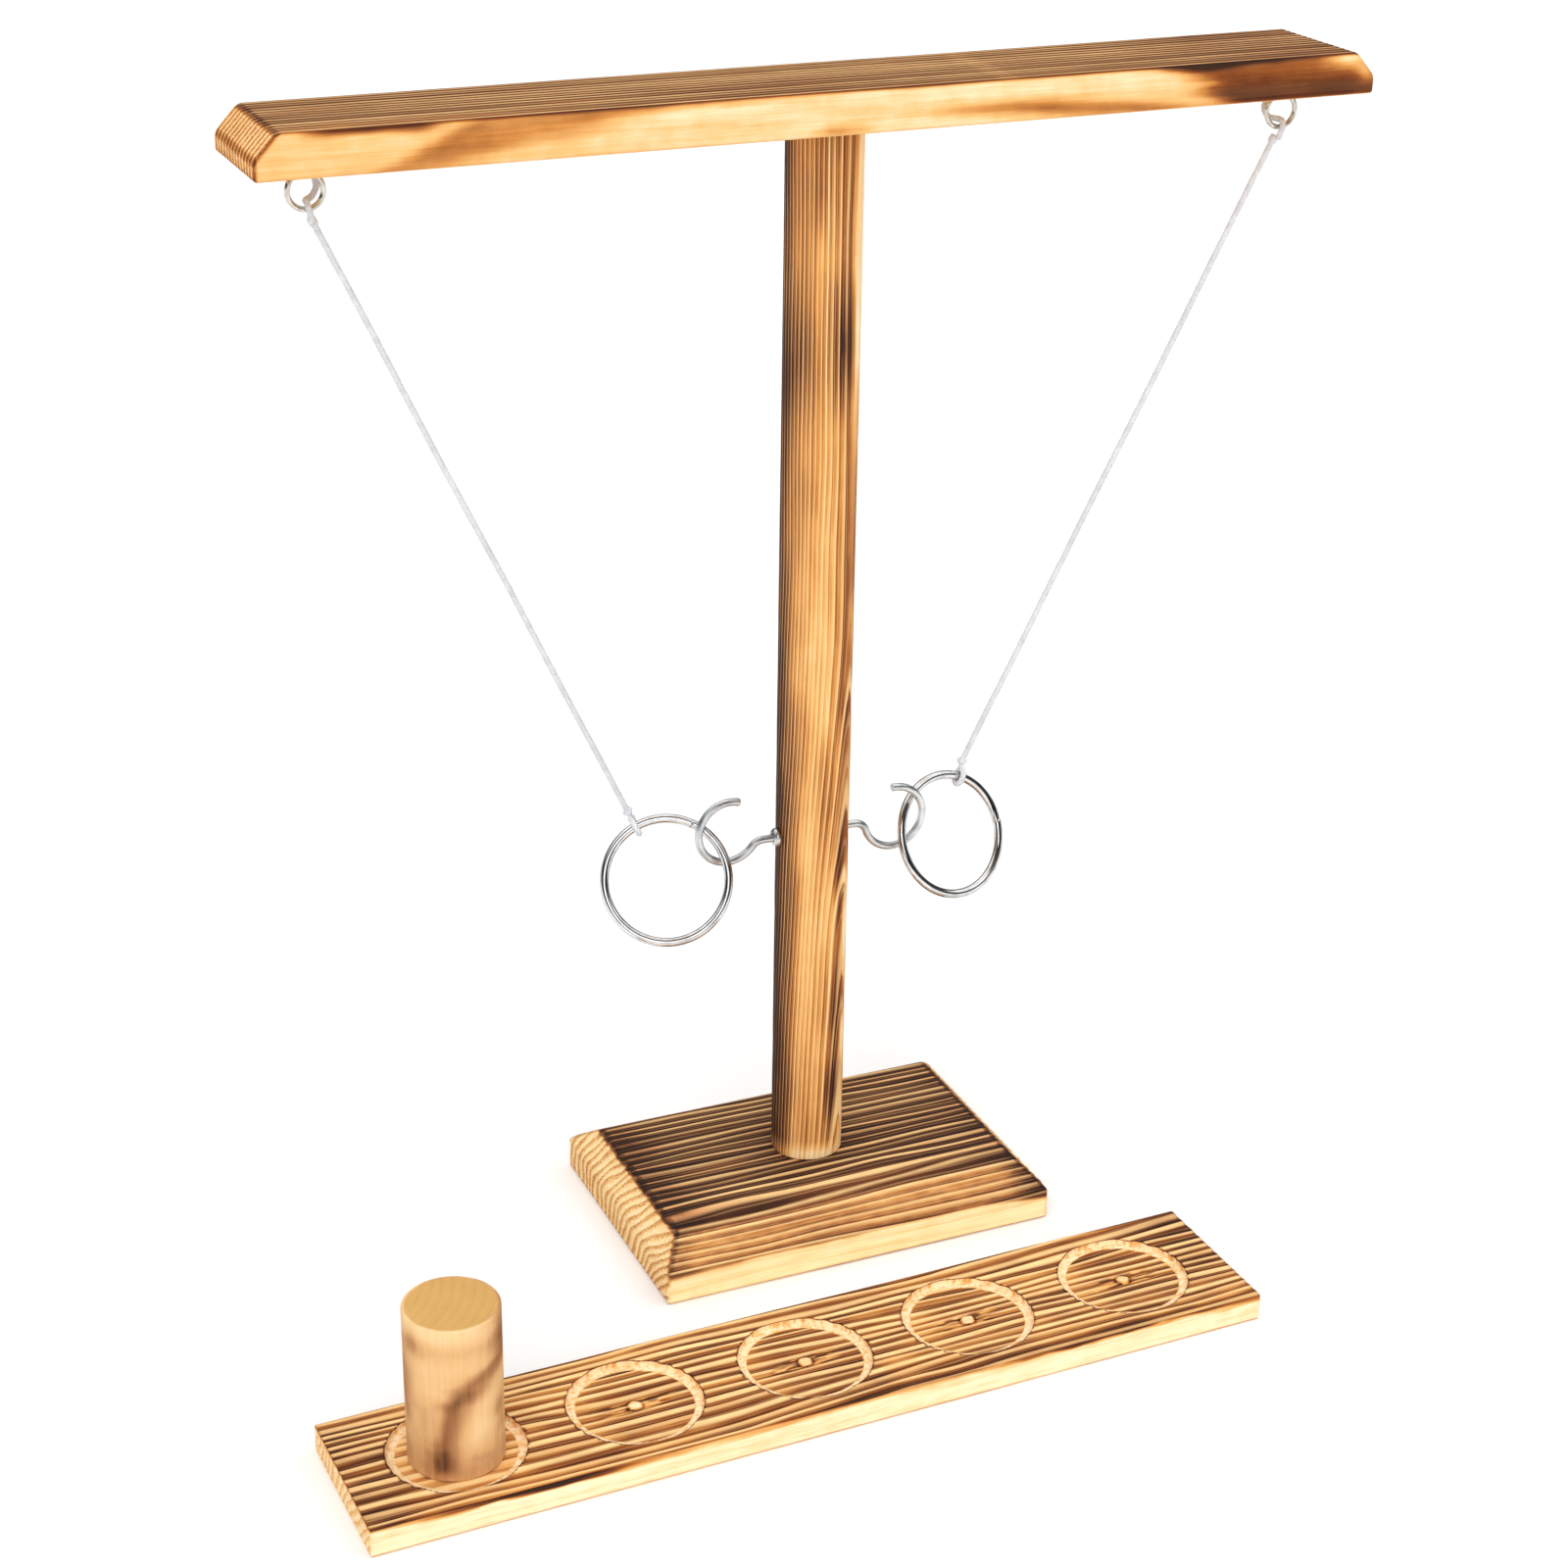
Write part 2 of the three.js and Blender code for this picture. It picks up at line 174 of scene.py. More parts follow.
def weld(sheets):
    """Joins (grid of points, flipped?) sheets that share their edges into one closed mesh."""
    points, faces, count = [], [], 0
    for sheet, flip in sheets:
        columns, rows = sheet.shape[:2]
        points.append(sheet.reshape(-1, 3))
        faces.append(grid_faces(columns, rows, flip) + count)
        count += columns * rows
    points = np.concatenate(points)
    faces = np.concatenate(faces)
    _, first, merged = np.unique(np.round(points * 2000).astype(np.int64), axis=0,
                                 return_index=True, return_inverse=True)
    return points[first], merged.reshape(-1)[faces]


def new_mesh(name, points, faces):
    """A mesh in mm from an array of four-cornered faces; repeated corners make triangles."""
    mesh = bpy.data.meshes.new(name)
    lists = [list(dict.fromkeys(face)) for face in faces.tolist()]
    mesh.from_pydata(points.tolist(), [], [face for face in lists if len(face) > 2])
    mesh.update()
    return mesh


def read_points(mesh):
    flat = np.zeros(len(mesh.vertices) * 3)
    mesh.vertices.foreach_get("co", flat)
    return flat.reshape(-1, 3)


def write_points(mesh, points):
    mesh.vertices.foreach_set("co", points.ravel())
    mesh.update()


def write_values(mesh, **values):
    for name, value in values.items():
        layer = mesh.attributes.new(name, "FLOAT", "POINT")
        layer.data.foreach_set("value", np.ascontiguousarray(value, np.float32))


def new_object(name, data):
    thing = bpy.data.objects.new(name, data)
    bpy.context.scene.collection.objects.link(thing)
    return thing


def add_piece(mesh, place, material, body="stand", crease=50):
    """Turns a mesh in mm into a piece in metres that rides on a body and replaces its CAD node."""
    name, slot = mesh.name.split(".")[0], material.name.split(".")[0]
    mesh.transform(place @ Matrix.Scale(MM, 4))
    mesh.shade_smooth()
    mesh.set_sharp_from_angle(angle=math.radians(crease))
    mesh.materials.append(material)
    piece = new_object(name + "_detail", mesh)
    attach(piece, body)
    if name in frame["nodes"]:
        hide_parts(name)
    return piece


def carve(mesh, cutters):
    """The mesh less the cutters, each a closed mesh in the same frame."""
    body = new_object("carve_body", mesh)
    tools = []
    for cutter in cutters:
        tool = new_object("carve_tool", cutter)
        modifier = body.modifiers.new("cut", "BOOLEAN")
        modifier.operation = "DIFFERENCE"
        modifier.solver = "MANIFOLD"
        modifier.object = tool
        tools.append(tool)
    depsgraph = bpy.context.evaluated_depsgraph_get()
    result = bpy.data.meshes.new_from_object(body.evaluated_get(depsgraph))
    result.name = mesh.name
    result.materials.clear()
    result.polygons.foreach_set("material_index", np.zeros(len(result.polygons), np.int32))
    for item in [body, *tools]:
        bpy.data.objects.remove(item)
    return result


def graded(length, fine, coarse):
    """Places from 0 to length: fine steps at both ends growing to coarse ones in the middle."""
    steps = [fine]
    while sum(steps) + steps[-1] * 1.25 < length / 2 - coarse / 2:
        steps.append(min(coarse, steps[-1] * 1.25))
    ends = np.concatenate([[0], np.cumsum(steps)])
    return np.concatenate([ends, length - ends[::-1]])


def turned(profile, sides):
    """A solid about Z from (radius, height) points that close up or end on the axis."""
    angles = np.linspace(0, TAU, sides + 1)
    radius, height = np.asarray(profile, float).T
    ring = sheet(np.outer(np.cos(angles), radius), np.outer(np.sin(angles), radius), height)
    ring[-1] = ring[0]
    return weld([(ring, False)])


def distances(path):
    """How far along a path each of its points is."""
    return np.concatenate([[0], np.cumsum(np.linalg.norm(np.diff(path, axis=0), axis=1))])


def tube(path, radius, sides, relief=None, closed=False):
    """A tube along the points of path; relief(angle, distance) stands out from its radius."""
    path = np.asarray(path, float)
    ahead = np.roll(path, -1, axis=0) - np.roll(path, 1, axis=0)
    if not closed:
        ahead[0] = path[1] - path[0]
        ahead[-1] = path[-1] - path[-2]
    ahead /= np.linalg.norm(ahead, axis=1)[:, None]
    side = np.cross(ahead[0], [0.31, 0.17, 0.93])
    sideways = []
    for direction in ahead:
        side = side - direction * (side @ direction)
        side = side / np.linalg.norm(side)
        sideways.append(side)
    sideways = np.array(sideways)
    upward = np.cross(ahead, sideways)
    gone = distances(path)
    angles = np.linspace(0, TAU, sides + 1)
    radii = np.broadcast_to(np.asarray(radius, float), len(path))[:, None] * np.ones(sides + 1)
    if relief:
        radii = radii + relief(angles[None, :], gone[:, None])
    skin = (path[:, None] + sideways[:, None] * (np.cos(angles) * radii)[..., None]
            + upward[:, None] * (np.sin(angles) * radii)[..., None])
    skin[:, -1] = skin[:, 0]
    sheets = [(skin, True)]
    if closed:
        sheets.append((np.stack([skin[-1], skin[0]]), True))
    else:
        for end, flip in ((0, False), (-1, True)):
            hub = np.broadcast_to(path[end], skin[end].shape)
            sheets.append((np.stack([skin[end], hub]), flip))
    return weld(sheets)


def spline(knots, step):
    """Points about step apart on a Catmull-Rom curve through the knots."""
    knots = np.asarray(knots, float)
    padded = np.concatenate([[2 * knots[0] - knots[1]], knots, [2 * knots[-1] - knots[-2]]])
    points = []
    for a, b, c, d in zip(padded, padded[1:], padded[2:], padded[3:]):
        count = max(2, int(round(np.linalg.norm(c - b) / step)))
        for t in np.arange(count) / count:
            points.append(0.5 * (2 * b + (c - a) * t + (2 * a - 5 * b + 4 * c - d) * t ** 2
                                 + (3 * b - a - 3 * c + d) * t ** 3))
    return np.array([*points, knots[-1]])


def arc(centre, radius, start, stop, step=0.35):
    """Points of a flat arc between two angles in radians."""
    angles = np.linspace(start, stop, max(3, int(abs(stop - start) * radius / step)))
    return [(centre[0] + radius * math.cos(a), centre[1] + radius * math.sin(a)) for a in angles]


def add_wire(name, path, radius, sides, place, material, body="stand", crease=40, **shape):
    points, faces = tube(path, radius, sides, **shape)
    return add_piece(new_mesh(name, points, faces), place, material, body, crease)


# ---- Places in the frame ----

def middle(node):
    """The middle of a node's underside."""
    low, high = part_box(node)
    return Vector(((low.x + high.x) / 2, (low.y + high.y) / 2, low.z))


def on_node(node):
    return Matrix.Translation(middle(node))


def half_size(node):
    """Half a node's length, half its width and its whole height, in mm."""
    low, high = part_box(node)
    return (high.x - low.x) / 2 / MM, (high.y - low.y) / 2 / MM, (high.z - low.z) / MM


def on_post(out, height):
    """A place beside the post's axis, out along X and up from the floor, in mm."""
    centre = middle("post")
    return Matrix.Translation((centre.x + out * MM, centre.y, height * MM))


def ring_frame(side):
    """A ring's place: its middle, with Y along its axle and Z towards its cord."""
    spin = JOINTS[side + "_ring_spin"]
    centre, axis = Vector(spin["pos_m"]), Vector(spin["axis"]).normalized()
    up = Vector(JOINTS[side + "_ring_tilt"]["pos_m"]) - centre
    up = (up - axis * up.dot(axis)).normalized()
    return Matrix.Translation(centre) @ Matrix((axis.cross(up), axis, up)).transposed().to_4x4()


# ---- Planks ----

class Plank:
    """A board with straight or bevelled sides: levels of (half length, half width, height)."""

    def __init__(self, levels, across=0.25, along=(0.2, 2.5)):
        """across and along are the mesh's steps in mm; along is the finest, then the coarsest."""
        self.levels = levels
        s = graded(2 * levels[0][0], *along)[:, None] / levels[0][0] - 1
        t = np.linspace(-1, 1, int(round(2 * levels[0][1] / across)) + 1)[:, None]
        sheets = []
        for (x, y, z), flip in ((levels[-1], False), (levels[0], True)):
            sheets.append((sheet(s * x, t.T * y, z), flip))
        for low, high in zip(levels, levels[1:]):
            low, high = np.array(low, float), np.array(high, float)
            rows = max(2, int(round(np.linalg.norm(high - low) / across)))
            x, y, z = np.linspace(low, high, rows + 1).T
            for sign in (-1, 1):
                sheets.append((sheet(s * x, sign * y, z), sign > 0))
                sheets.append((sheet(sign * x, t * y, z), sign < 0))
        self.points, self.faces = weld(sheets)
        self.planes = self.find_planes()

    def find_planes(self):
        """{name: (outward normal, distance)}; a side upright over two levels is one plane."""
        planes = {"top": ((0, 0, 1), self.levels[-1][2]),
                  "bottom": ((0, 0, -1), -self.levels[0][2])}
        for low, high in zip(self.levels, self.levels[1:]):
            rise = high[2] - low[2]
            for axis, names in ((0, ("left", "right")), (1, ("front", "back"))):
                shrink = low[axis] - high[axis]
                slope = math.hypot(rise, shrink)
                reach = (rise * low[axis] + shrink * low[2]) / slope
                for sign, name in zip((-1, 1), names):
                    normal = [0, 0, shrink / slope]
                    normal[axis] = sign * rise / slope
                    label = name + ("_bevel" if shrink else "")
                    planes[label] = (tuple(normal), reach)
        return planes

    def weights(self, points, radius):
        """How far each point reaches over each plane's rounded edge, 0 to 1, and its parts."""
        names = list(self.planes)
        normals = np.array([self.planes[name][0] for name in names])
        reach = np.array([self.planes[name][1] for name in names])
        over = np.clip(points @ normals.T - reach + radius, 0, None) / radius
        size = np.linalg.norm(over, axis=1)
        share = over / np.maximum(size, 1e-6)[:, None]
        return dict(zip(names, share.T)), over, size, normals

    def rounded(self, points, radius):
        """The points with the plank's edges rounded off."""
        points = points.copy()
        for _ in range(5):
            _, over, size, normals = self.weights(points, radius)
            slope = (over @ normals) / (radius * np.maximum(size, 1e-6))[:, None]
            length = np.maximum((slope ** 2).sum(1), 1e-9)
            step = np.where(size > 1, (size - 1) / length, 0)
            points -= slope * step[:, None]
        return points


# ---- Wood ----

def year_count(points, pith, pitch, wander, seed):
    """The year rings counted outwards from the pith line (y, z), which runs along X."""
    radius = np.hypot(points[:, 1] - pith[0], points[:, 2] - pith[1])
    uneven = noise(points, (90, 14, 14), seed) + 0.3 * noise(points, (25, 5, 5), seed + 7)
    return radius / pitch + wander * (uneven + 0.36 * noise(points, (170, 4.5, 4.5), seed + 9))


def linear(colour):
    """Linear values of a colour given from 0 to 255 as a screen shows it."""
    return [((c / 255 + 0.055) / 1.055) ** 2.4 if c > 10 else c / 255 / 12.92 for c in colour]


class Nodes:
    """The nodes of a material or a world, and short calls that add to them."""

    def __init__(self, owner, shader):
        owner.use_nodes = True
        self.owner, self.tree = owner, owner.node_tree
        self.shader = self.tree.nodes[shader]

    def add(self, kind, inputs=(), **settings):
        node = self.tree.nodes.new(kind)
        for name, value in settings.items():
            setattr(node, name, value)
        for key, value in dict(inputs).items():
            self.feed(node.inputs[key], value)
        return node

    def feed(self, socket, value):
        if isinstance(value, bpy.types.NodeSocket):
            self.tree.links.new(value, socket)
        else:
            socket.default_value = value

    def noise(self, scale, detail=3.0, roughness=0.55):
        """Noise over object coordinates in metres times scale, one number for each axis."""
        place = self.add("ShaderNodeTexCoord").outputs["Object"]
        place = self.add("ShaderNodeMapping", {"Vector": place, "Scale": scale}).outputs[0]
        inputs = {"Vector": place, "Scale": 1.0, "Detail": detail, "Roughness": roughness}
        return self.add("ShaderNodeTexNoise", inputs).outputs[0]

    def attribute(self, name):
        return self.add("ShaderNodeAttribute", attribute_name=name).outputs["Fac"]

    def math(self, operation, a, b, clamp=False):
        inputs = {0: a, 1: b}
        return self.add("ShaderNodeMath", inputs, operation=operation, use_clamp=clamp).outputs[0]

    def step(self, value, low, high, start=0.0, stop=1.0):
        """start below low, stop above high and smooth between."""
        inputs = {"Value": value, "From Min": low, "From Max": high,
                  "To Min": start, "To Max": stop}
        return self.add("ShaderNodeMapRange", inputs, interpolation_type="SMOOTHSTEP").outputs[0]

    def plus(self, a, b, clamp=False):
        return self.math("ADD", a, b, clamp)

    def less(self, a, b):
        return self.math("SUBTRACT", a, b)

    def times(self, a, b):
        return self.math("MULTIPLY", a, b)

    def spread(self, value, amount):
        """A 0 to 1 value moved to either side of 0 and scaled."""
        return self.times(self.less(value, 0.5), amount)

    def ramp(self, value, stops, convert=linear):
        """Colours at places from 0 to 1, given as (place, red, green, blue) from 0 to 255."""
        ramp = self.add("ShaderNodeValToRGB", {"Fac": value})
        elements = ramp.color_ramp.elements
        while len(elements) < len(stops):
            elements.new(0.5)
        for element, (place, *colour) in zip(elements, stops):
            element.position = place
            element.color = (*convert(colour), 1)
        return ramp.outputs["Color"]

    def mix(self, factor, a, b):
        node = self.add("ShaderNodeMix", data_type="RGBA")
        self.feed(node.inputs[0], factor)
        self.feed(node.inputs[6], a)
        self.feed(node.inputs[7], b)
        return node.outputs[2]

    def bump(self, height, distance, strength=1.0):
        inputs = {"Height": height, "Distance": distance, "Strength": strength}
        self.surface({"Normal": self.add("ShaderNodeBump", inputs).outputs[0]})

    def surface(self, inputs):
        """Feeds the shader and returns the material or world."""
        for name, value in inputs.items():
            self.feed(self.shader.inputs[name], value)
        return self.owner


def new_material(name):
    return Nodes(bpy.data.materials.new(name), "Principled BSDF")


# Colours from bare to charred wood: place, red, green and blue, for the soft early growth of a
# year, for its hard late line, and for the warmer early growth of the crossbar, post and board.
EARLY_WOOD = [
    (0.00, 252, 230, 180),
    (0.20, 240, 194, 128),
    (0.40, 196, 132, 72),
    (0.60, 130, 75, 42),
    (0.80, 76, 43, 27),
    (1.00, 38, 26, 22),
]
LATE_WOOD = [
    (0.00, 238, 196, 132),
    (0.25, 248, 210, 146),
    (0.50, 255, 220, 156),
    (0.75, 250, 204, 140),
    (0.90, 226, 162, 106),
    (1.00, 150, 96, 58),
]
CARAMEL_WOOD = [
    (0.00, 253, 232, 192),
    (0.20, 240, 186, 116),
    (0.40, 208, 138, 68),
    (0.60, 150, 82, 34),
    (0.80, 98, 48, 22),
    (1.00, 50, 30, 20),
]


def year_lines(m, years, thin, salt):
    """0 in the soft early growth, rising to 1 in the hard line that ends each year."""
    year = m.math("FLOOR", years, 0.0)
    part = m.less(years, year)
    draw = m.add("ShaderNodeTexWhiteNoise", {"W": m.plus(year, salt)}, noise_dimensions="1D")
    width = m.times(m.plus(m.times(draw.outputs["Value"], 0.8), 0.5), thin)
    rise = m.step(part, m.less(1.0, m.times(width, 1.15)), m.less(1.0, m.times(width, 0.5)))
    fall = m.step(part, 1.0, 1.0 - 0.16 * thin)
    power = m.add("ShaderNodeSeparateXYZ", {"Vector": draw.outputs["Color"]}).outputs["Y"]
    strength = m.plus(m.times(power, 0.55), 0.45)
    return m.times(strength, m.times(rise, fall))


def wood_material(name, along, early=EARLY_WOOD, late=LATE_WOOD, fibres=0.26, thin=0.5, faint=0.35,
                  fade=0.3, end_lines=0.34):
    """Softwood drawn from the mesh's values: burn is how scorched it is, with painted shade and a
    painted highlight in places, years counts its rings, show is how strong their lines are, end is
    end grain and pale is bare wood. The fibres run along one axis, thin is a line's width, faint
    the strength of finer lines between them, and fade how far the wood darkens from one line to the
    next."""
    m = new_material(name)
    fine, streaks = [2600.0] * 3, [700.0] * 3
    fine[along], streaks[along] = 70.0, 22.0
    fibre = m.noise(fine, 3.0)
    streak = m.noise(streaks, 2.0)
    mottle = m.noise((150.0, 150.0, 150.0), 3.0)
    speck = m.noise((1900.0, 1900.0, 1900.0), 2.0)
    end = m.attribute("end")
    years = m.plus(m.attribute("years"), m.spread(streak, 0.12))
    faint_years = m.plus(m.times(years, 2.7), 0.4)
    lines = m.math("MAXIMUM", year_lines(m, years, thin, 3.0),
                   m.times(year_lines(m, faint_years, 0.45, 7.0), faint))
    grain = m.plus(m.spread(fibre, fibres), m.spread(streak, fibres))
    year = m.math("FLOOR", years, 0.0)
    part = m.less(years, year)
    rest = m.less(1.0, part)
    draw = m.add("ShaderNodeTexWhiteNoise", {"W": year}, noise_dimensions="1D")
    depth = m.times(m.plus(draw.outputs["Value"], 0.4), fade)
    softness = m.times(m.times(m.times(rest, rest), depth), m.attribute("show"))
    side_burn = m.plus(m.plus(grain, m.spread(mottle, 0.16)), softness)
    cut_lines = m.times(m.step(part, 0.3, 0.85), m.step(part, 1.0, 0.95))
    end_burn = m.plus(m.spread(speck, 0.8), m.times(cut_lines, end_lines))
    loose = m.plus(m.times(side_burn, m.less(1.0, end)), m.times(end_burn, end))
    burn = m.plus(m.attribute("burn"), loose, True)
    show = m.times(m.attribute("show"), m.plus(m.spread(mottle, 0.7), 0.95))
    bright = m.plus(m.times(lines, show), m.attribute("pale"))
    line = m.plus(bright, m.times(m.spread(fibre, 0.9), bright), True)
    colour = m.mix(line, m.ramp(burn, early), m.ramp(burn, late))
    m.bump(m.plus(fibre, m.times(speck, 0.35)), 0.00012, 0.55)
    return m.surface({"Base Color": colour, "Roughness": m.plus(0.55, m.times(fibre, 0.3)),
                      "Specular IOR Level": 0.14})


def relieved(points, side, plank, years, depth, seed, plain):
    """The points with the soft wood between the year lines brushed out along each face's normal."""
    normals = np.array([normal for normal, _ in plank.planes.values()])
    outward = np.stack([side[name] for name in plank.planes], axis=1) @ normals
    part = years - np.floor(years)
    wave = 0.5 - 0.5 * np.cos(TAU * part ** 1.4)
    hollow = np.maximum(depth * wave + 0.12 * depth * noise(points, (6, 0.6, 0.6), seed), 0)
    brushed = 1 - sum(0.85 * side[name] ** 2 for name in plain)
    return points - outward * (hollow * brushed)[:, None]


def make_plank(name, plank, years_of, fields, material, radius, depth, seed, plain, body="stand",
               place=None, cutters=(), after=None):
    """A plank in place of its node: its edges rounded to a radius, its year lines counted by
    years_of and brushed out to a depth except on the plain faces, and scorched by fields, which
    also paint shade in places."""
    mesh = new_mesh(name, plank.points, plank.faces)
    if cutters:
        mesh = carve(mesh, cutters)
    points = plank.rounded(read_points(mesh), radius)
    years = years_of(points)
    side = plank.weights(points, radius)[0]
    share = {face: weight ** 2 for face, weight in side.items()}
    ends = ("left_bevel", "right_bevel", "left", "right")
    grain_end = sum(share[face] for face in ends if face in share)
    burn, show = fields(plank, points, side, share)
    show = show * (1 - grain_end)
    shaped = relieved(points, side, plank, years, depth, seed, plain)
    if after:
        shaped, burn, show, grain_end = after(points, shaped, burn, show, grain_end, years)
    write_points(mesh, shaped)
    write_values(mesh, burn=np.clip(burn, 0, 1), years=years, show=np.clip(show, 0, 1),
                 end=np.clip(grain_end, 0, 1))
    add_piece(mesh, place or on_node(name), material, body)


# ---- Base and crossbar ----

def base_fields(plank, points, side, share):
    """Scorching of the base board, and painted shade round the post's foot: charred on top, pale on
    its cut front and end grain.
    """
    x, y, z = points.T
    u = x / plank.levels[0][0]
    top = 0.77 + 0.12 * lumps(points, (50, 18, 18), 11) + 0.07 * noise(points, (20, 3, 20), 13)
    # The patches include painted shade round the post's foot.
    top += patches(x, y, BASE_PATCHES)
    top += 0.14 * ease(-0.62, -0.86, u) + 0.08 * ease(0.7, 0.9, u)
    bevel = 0.42 + 0.14 * lumps(points, (40, 9, 9), 21) + 0.06 * noise(points, (1.6, 1.2, 1.2), 23)
    bevel += 0.45 * ease(0.76, 0.97, u) + 0.2 * ease(-0.8, -0.97, u)
    end = 0.1 + 0.08 * noise(points, (8, 20, 5), 31)
    scorch = lumps(points, (14, 14, 5), 41)
    lower = 0.6 * scorch + 1.8 * ease(0.62, 1, u) + 0.6 * ease(-0.7, -1, u)
    front = 0.03 + 0.03 * scorch + 0.8 * ease(8.8, 10.8, z + lower)
    front += 0.45 * ease(1.0, 0.2, z)
    burn = share["top"] * top + share["bottom"] * (0.35 + 0.1 * scorch)
    burn += (share["front_bevel"] + share["back_bevel"]) * bevel
    burn += (share["left_bevel"] + share["right_bevel"]) * end
    burn += (share["front"] + share["back"]) * front
    burn += (share["left"] + share["right"]) * (0.12 + 0.06 * scorch + 0.3 * ease(1.5, 0, z))
    end_bevels = np.maximum(side["left_bevel"], side["right_bevel"])
    burn += 1.1 * side["top"] * end_bevels * (0.75 + 0.5 * noise(points, (3, 2, 3), 51))
    burn += (0.6 * end_bevels + 0.25 * side["top"]) * side["front_bevel"]
    corners = (side["front"] + side["back"]) * (side["left"] + side["right"])
    burn += 0.5 * corners * (0.4 + noise(points, (9, 9, 0.9), 53))
    return burn, 1 - 0.1 * share["front_bevel"] - 0.6 * (share["front"] + share["back"])


def base_years(points):
    """The base board's year rings, which crowd together towards its front edge."""
    radius = np.hypot(points[:, 1] + 53, points[:, 2] + 14)
    rings = year_count(points, pith=(-53, -14), pitch=3.3, wander=0.6, seed=3)
    return rings - 1.1 * ease(39, 25, radius)


def add_base():
    half_x, half_y, height = half_size("base_board")
    plank = Plank([
        (half_x, half_y, 0),
        (half_x, half_y, height - BASE_BEVEL["drop"]),
        (half_x - BASE_BEVEL["end_run"], half_y - BASE_BEVEL["front_run"], height),
    ])
    head, throat = SCREW_HOLE["head"], SCREW_HOLE["throat"]
    hole = turned([(0, -1), (head, -1), (head, SCREW_HOLE["rim"]),
                   (throat, SCREW_HOLE["throat_start"]), (throat, height + 1), (0, height + 1)], 48)
    wood = wood_material("base_wood", 0, thin=0.36, fade=0.3, end_lines=0.27)
    make_plank("base_board", plank, base_years, base_fields, wood, radius=1.2, depth=0.17, seed=61,
               plain=("front", "back", "bottom"), cutters=[new_mesh("screw_hole", *hole)])


def bar_fields(plank, points, side, share):
    """Scorching of the crossbar: brushed dark on top, airbrushed blotches on its smooth front."""
    x, y, z = points.T
    u, v = x / plank.levels[0][0], z / plank.levels[-1][2]
    wave = lumps(points, (30, 12, 5), 71)
    top = 0.77 + 0.1 * lumps(points, (70, 14, 10), 81) + 0.1 * ease(0.45, 0.9, u)
    top += 0.06 * noise(points, (30, 1.2, 9), 82)
    top -= 0.5 * blot(x, y, (46, 0), (1.4, 30)) * (0.6 + 0.4 * noise(points, (9, 5, 9), 83))
    top -= 0.12 * ease(-0.2, -0.8, u) * ease(2, 18, -y)
    front = 0.07 + 0.05 * wave + 0.08 * ease(-40, -90, x)
    edge = ease(0.72, 0.98, v + 0.1 * wave)
    front += 0.75 * edge * ease(-154, -143, x) * ease(-112, -122, x)
    front += 0.45 * edge * blot(x, z, (-46, plank.levels[-1][2]), (26, 30))
    right_of = ease(-5, 6, x + 132 - 27 * v + 4 * wave)
    above = ease(-0.3, 0.26, v - (x + 128) / 90 + 0.14 * wave)
    front += (0.24 + 0.08 * wave) * right_of * above * ease(-44, -84, x)
    front += 0.12 * right_of * ease(-96, -118, x)
    front += patches(x + 4 * wave, z + 0.9 * wave, BAR_PATCHES)
    dark = (0.56 + 0.14 * wave + 0.14 * ease(0.6, 0.1, v))
    dark *= ease(99, 117, x + 6 * wave + 1.3 * (z - 6))
    front += dark * (1 - np.clip(patches(x, z, BAR_PALE_PATCHES), 0, 0.96))
    upper = ease(0.8, 1, v + 0.08 * wave)
    front += 0.5 * upper * ease(84, 104, x) * ease(148, 138, x)
    rear = 0.1 + 0.4 * ease(-0.1, 0.8, lumps(points, (60, 12, 7), 91))
    end = 0.08 + 0.06 * wave + 0.16 * ease(3, 0, z)
    below = 0.16 + 0.35 * ease(0.1, 0.9, lumps(points, (50, 16, 10), 101))
    burn = share["top"] * top + share["bottom"] * below
    burn += share["front"] * front + share["back"] * rear
    burn += (share["left_bevel"] + share["left"]) * end
    burn += (share["right_bevel"] + share["right"]) * (end + 0.35)
    burn += 0.6 * side["top"] * np.maximum(side["left_bevel"], side["right_bevel"])
    burn += 0.6 * side["top"] * (side["front"] + side["back"]) * (0.5 + 0.5 * wave)
    burn += 0.8 * (side["left_bevel"] + side["left"]) * side["front"]
    burn += 0.5 * side["left_bevel"] * side["left"] + 0.4 * side["left"] * side["bottom"]
    return burn, 1 - 0.8 * (share["front"] + share["back"])


def bar_years(points):
    return year_count(points, pith=(-74, 6.5), pitch=2.8, wander=0.14, seed=103)


def add_crossbar():
    half_x, half_y, height = half_size("crossbar")
    plank = Plank([
        (half_x, half_y, 0),
        (half_x, half_y, height - BAR_CHAMFER["drop"]),
        (half_x - BAR_CHAMFER["run"], half_y, height),
    ], along=(0.22, 3))
    wood = wood_material("crossbar_wood", 0, CARAMEL_WOOD, fibres=0.16, thin=0.3, faint=0.3,
                         fade=0.4, end_lines=0.36)
    make_plank("crossbar", plank, bar_years, bar_fields, wood, radius=1.1, depth=0.2, seed=105,
               plain=("front", "back", "bottom"))


# ---- Score board ----

def recess_places():
    first = -(RECESS["count"] - 1) / 2
    return [(first + i) * RECESS["pitch"] for i in range(RECESS["count"])]


def recess_cutter(x, top):
    """A disc with a finely divided underside, so that the recess's floor can carry tool marks."""
    radius = RECESS["radius"]
    inner = np.linspace(0, radius - RECESS["rim"] - 0.6, 38)
    outer = np.linspace(radius - RECESS["rim"] - 0.35, radius, 12)
    floor = top - RECESS["depth"]
    wall = [(radius, top - drop) for drop in (1.2, 0.7, 0.25)]
    profile = [(r, floor) for r in [*inner, *outer]] + wall + [(radius, top + 1), (0, top + 1)]
    points, faces = turned(profile, 256)
    return new_mesh("recess", points + [x, 0, 0], faces)


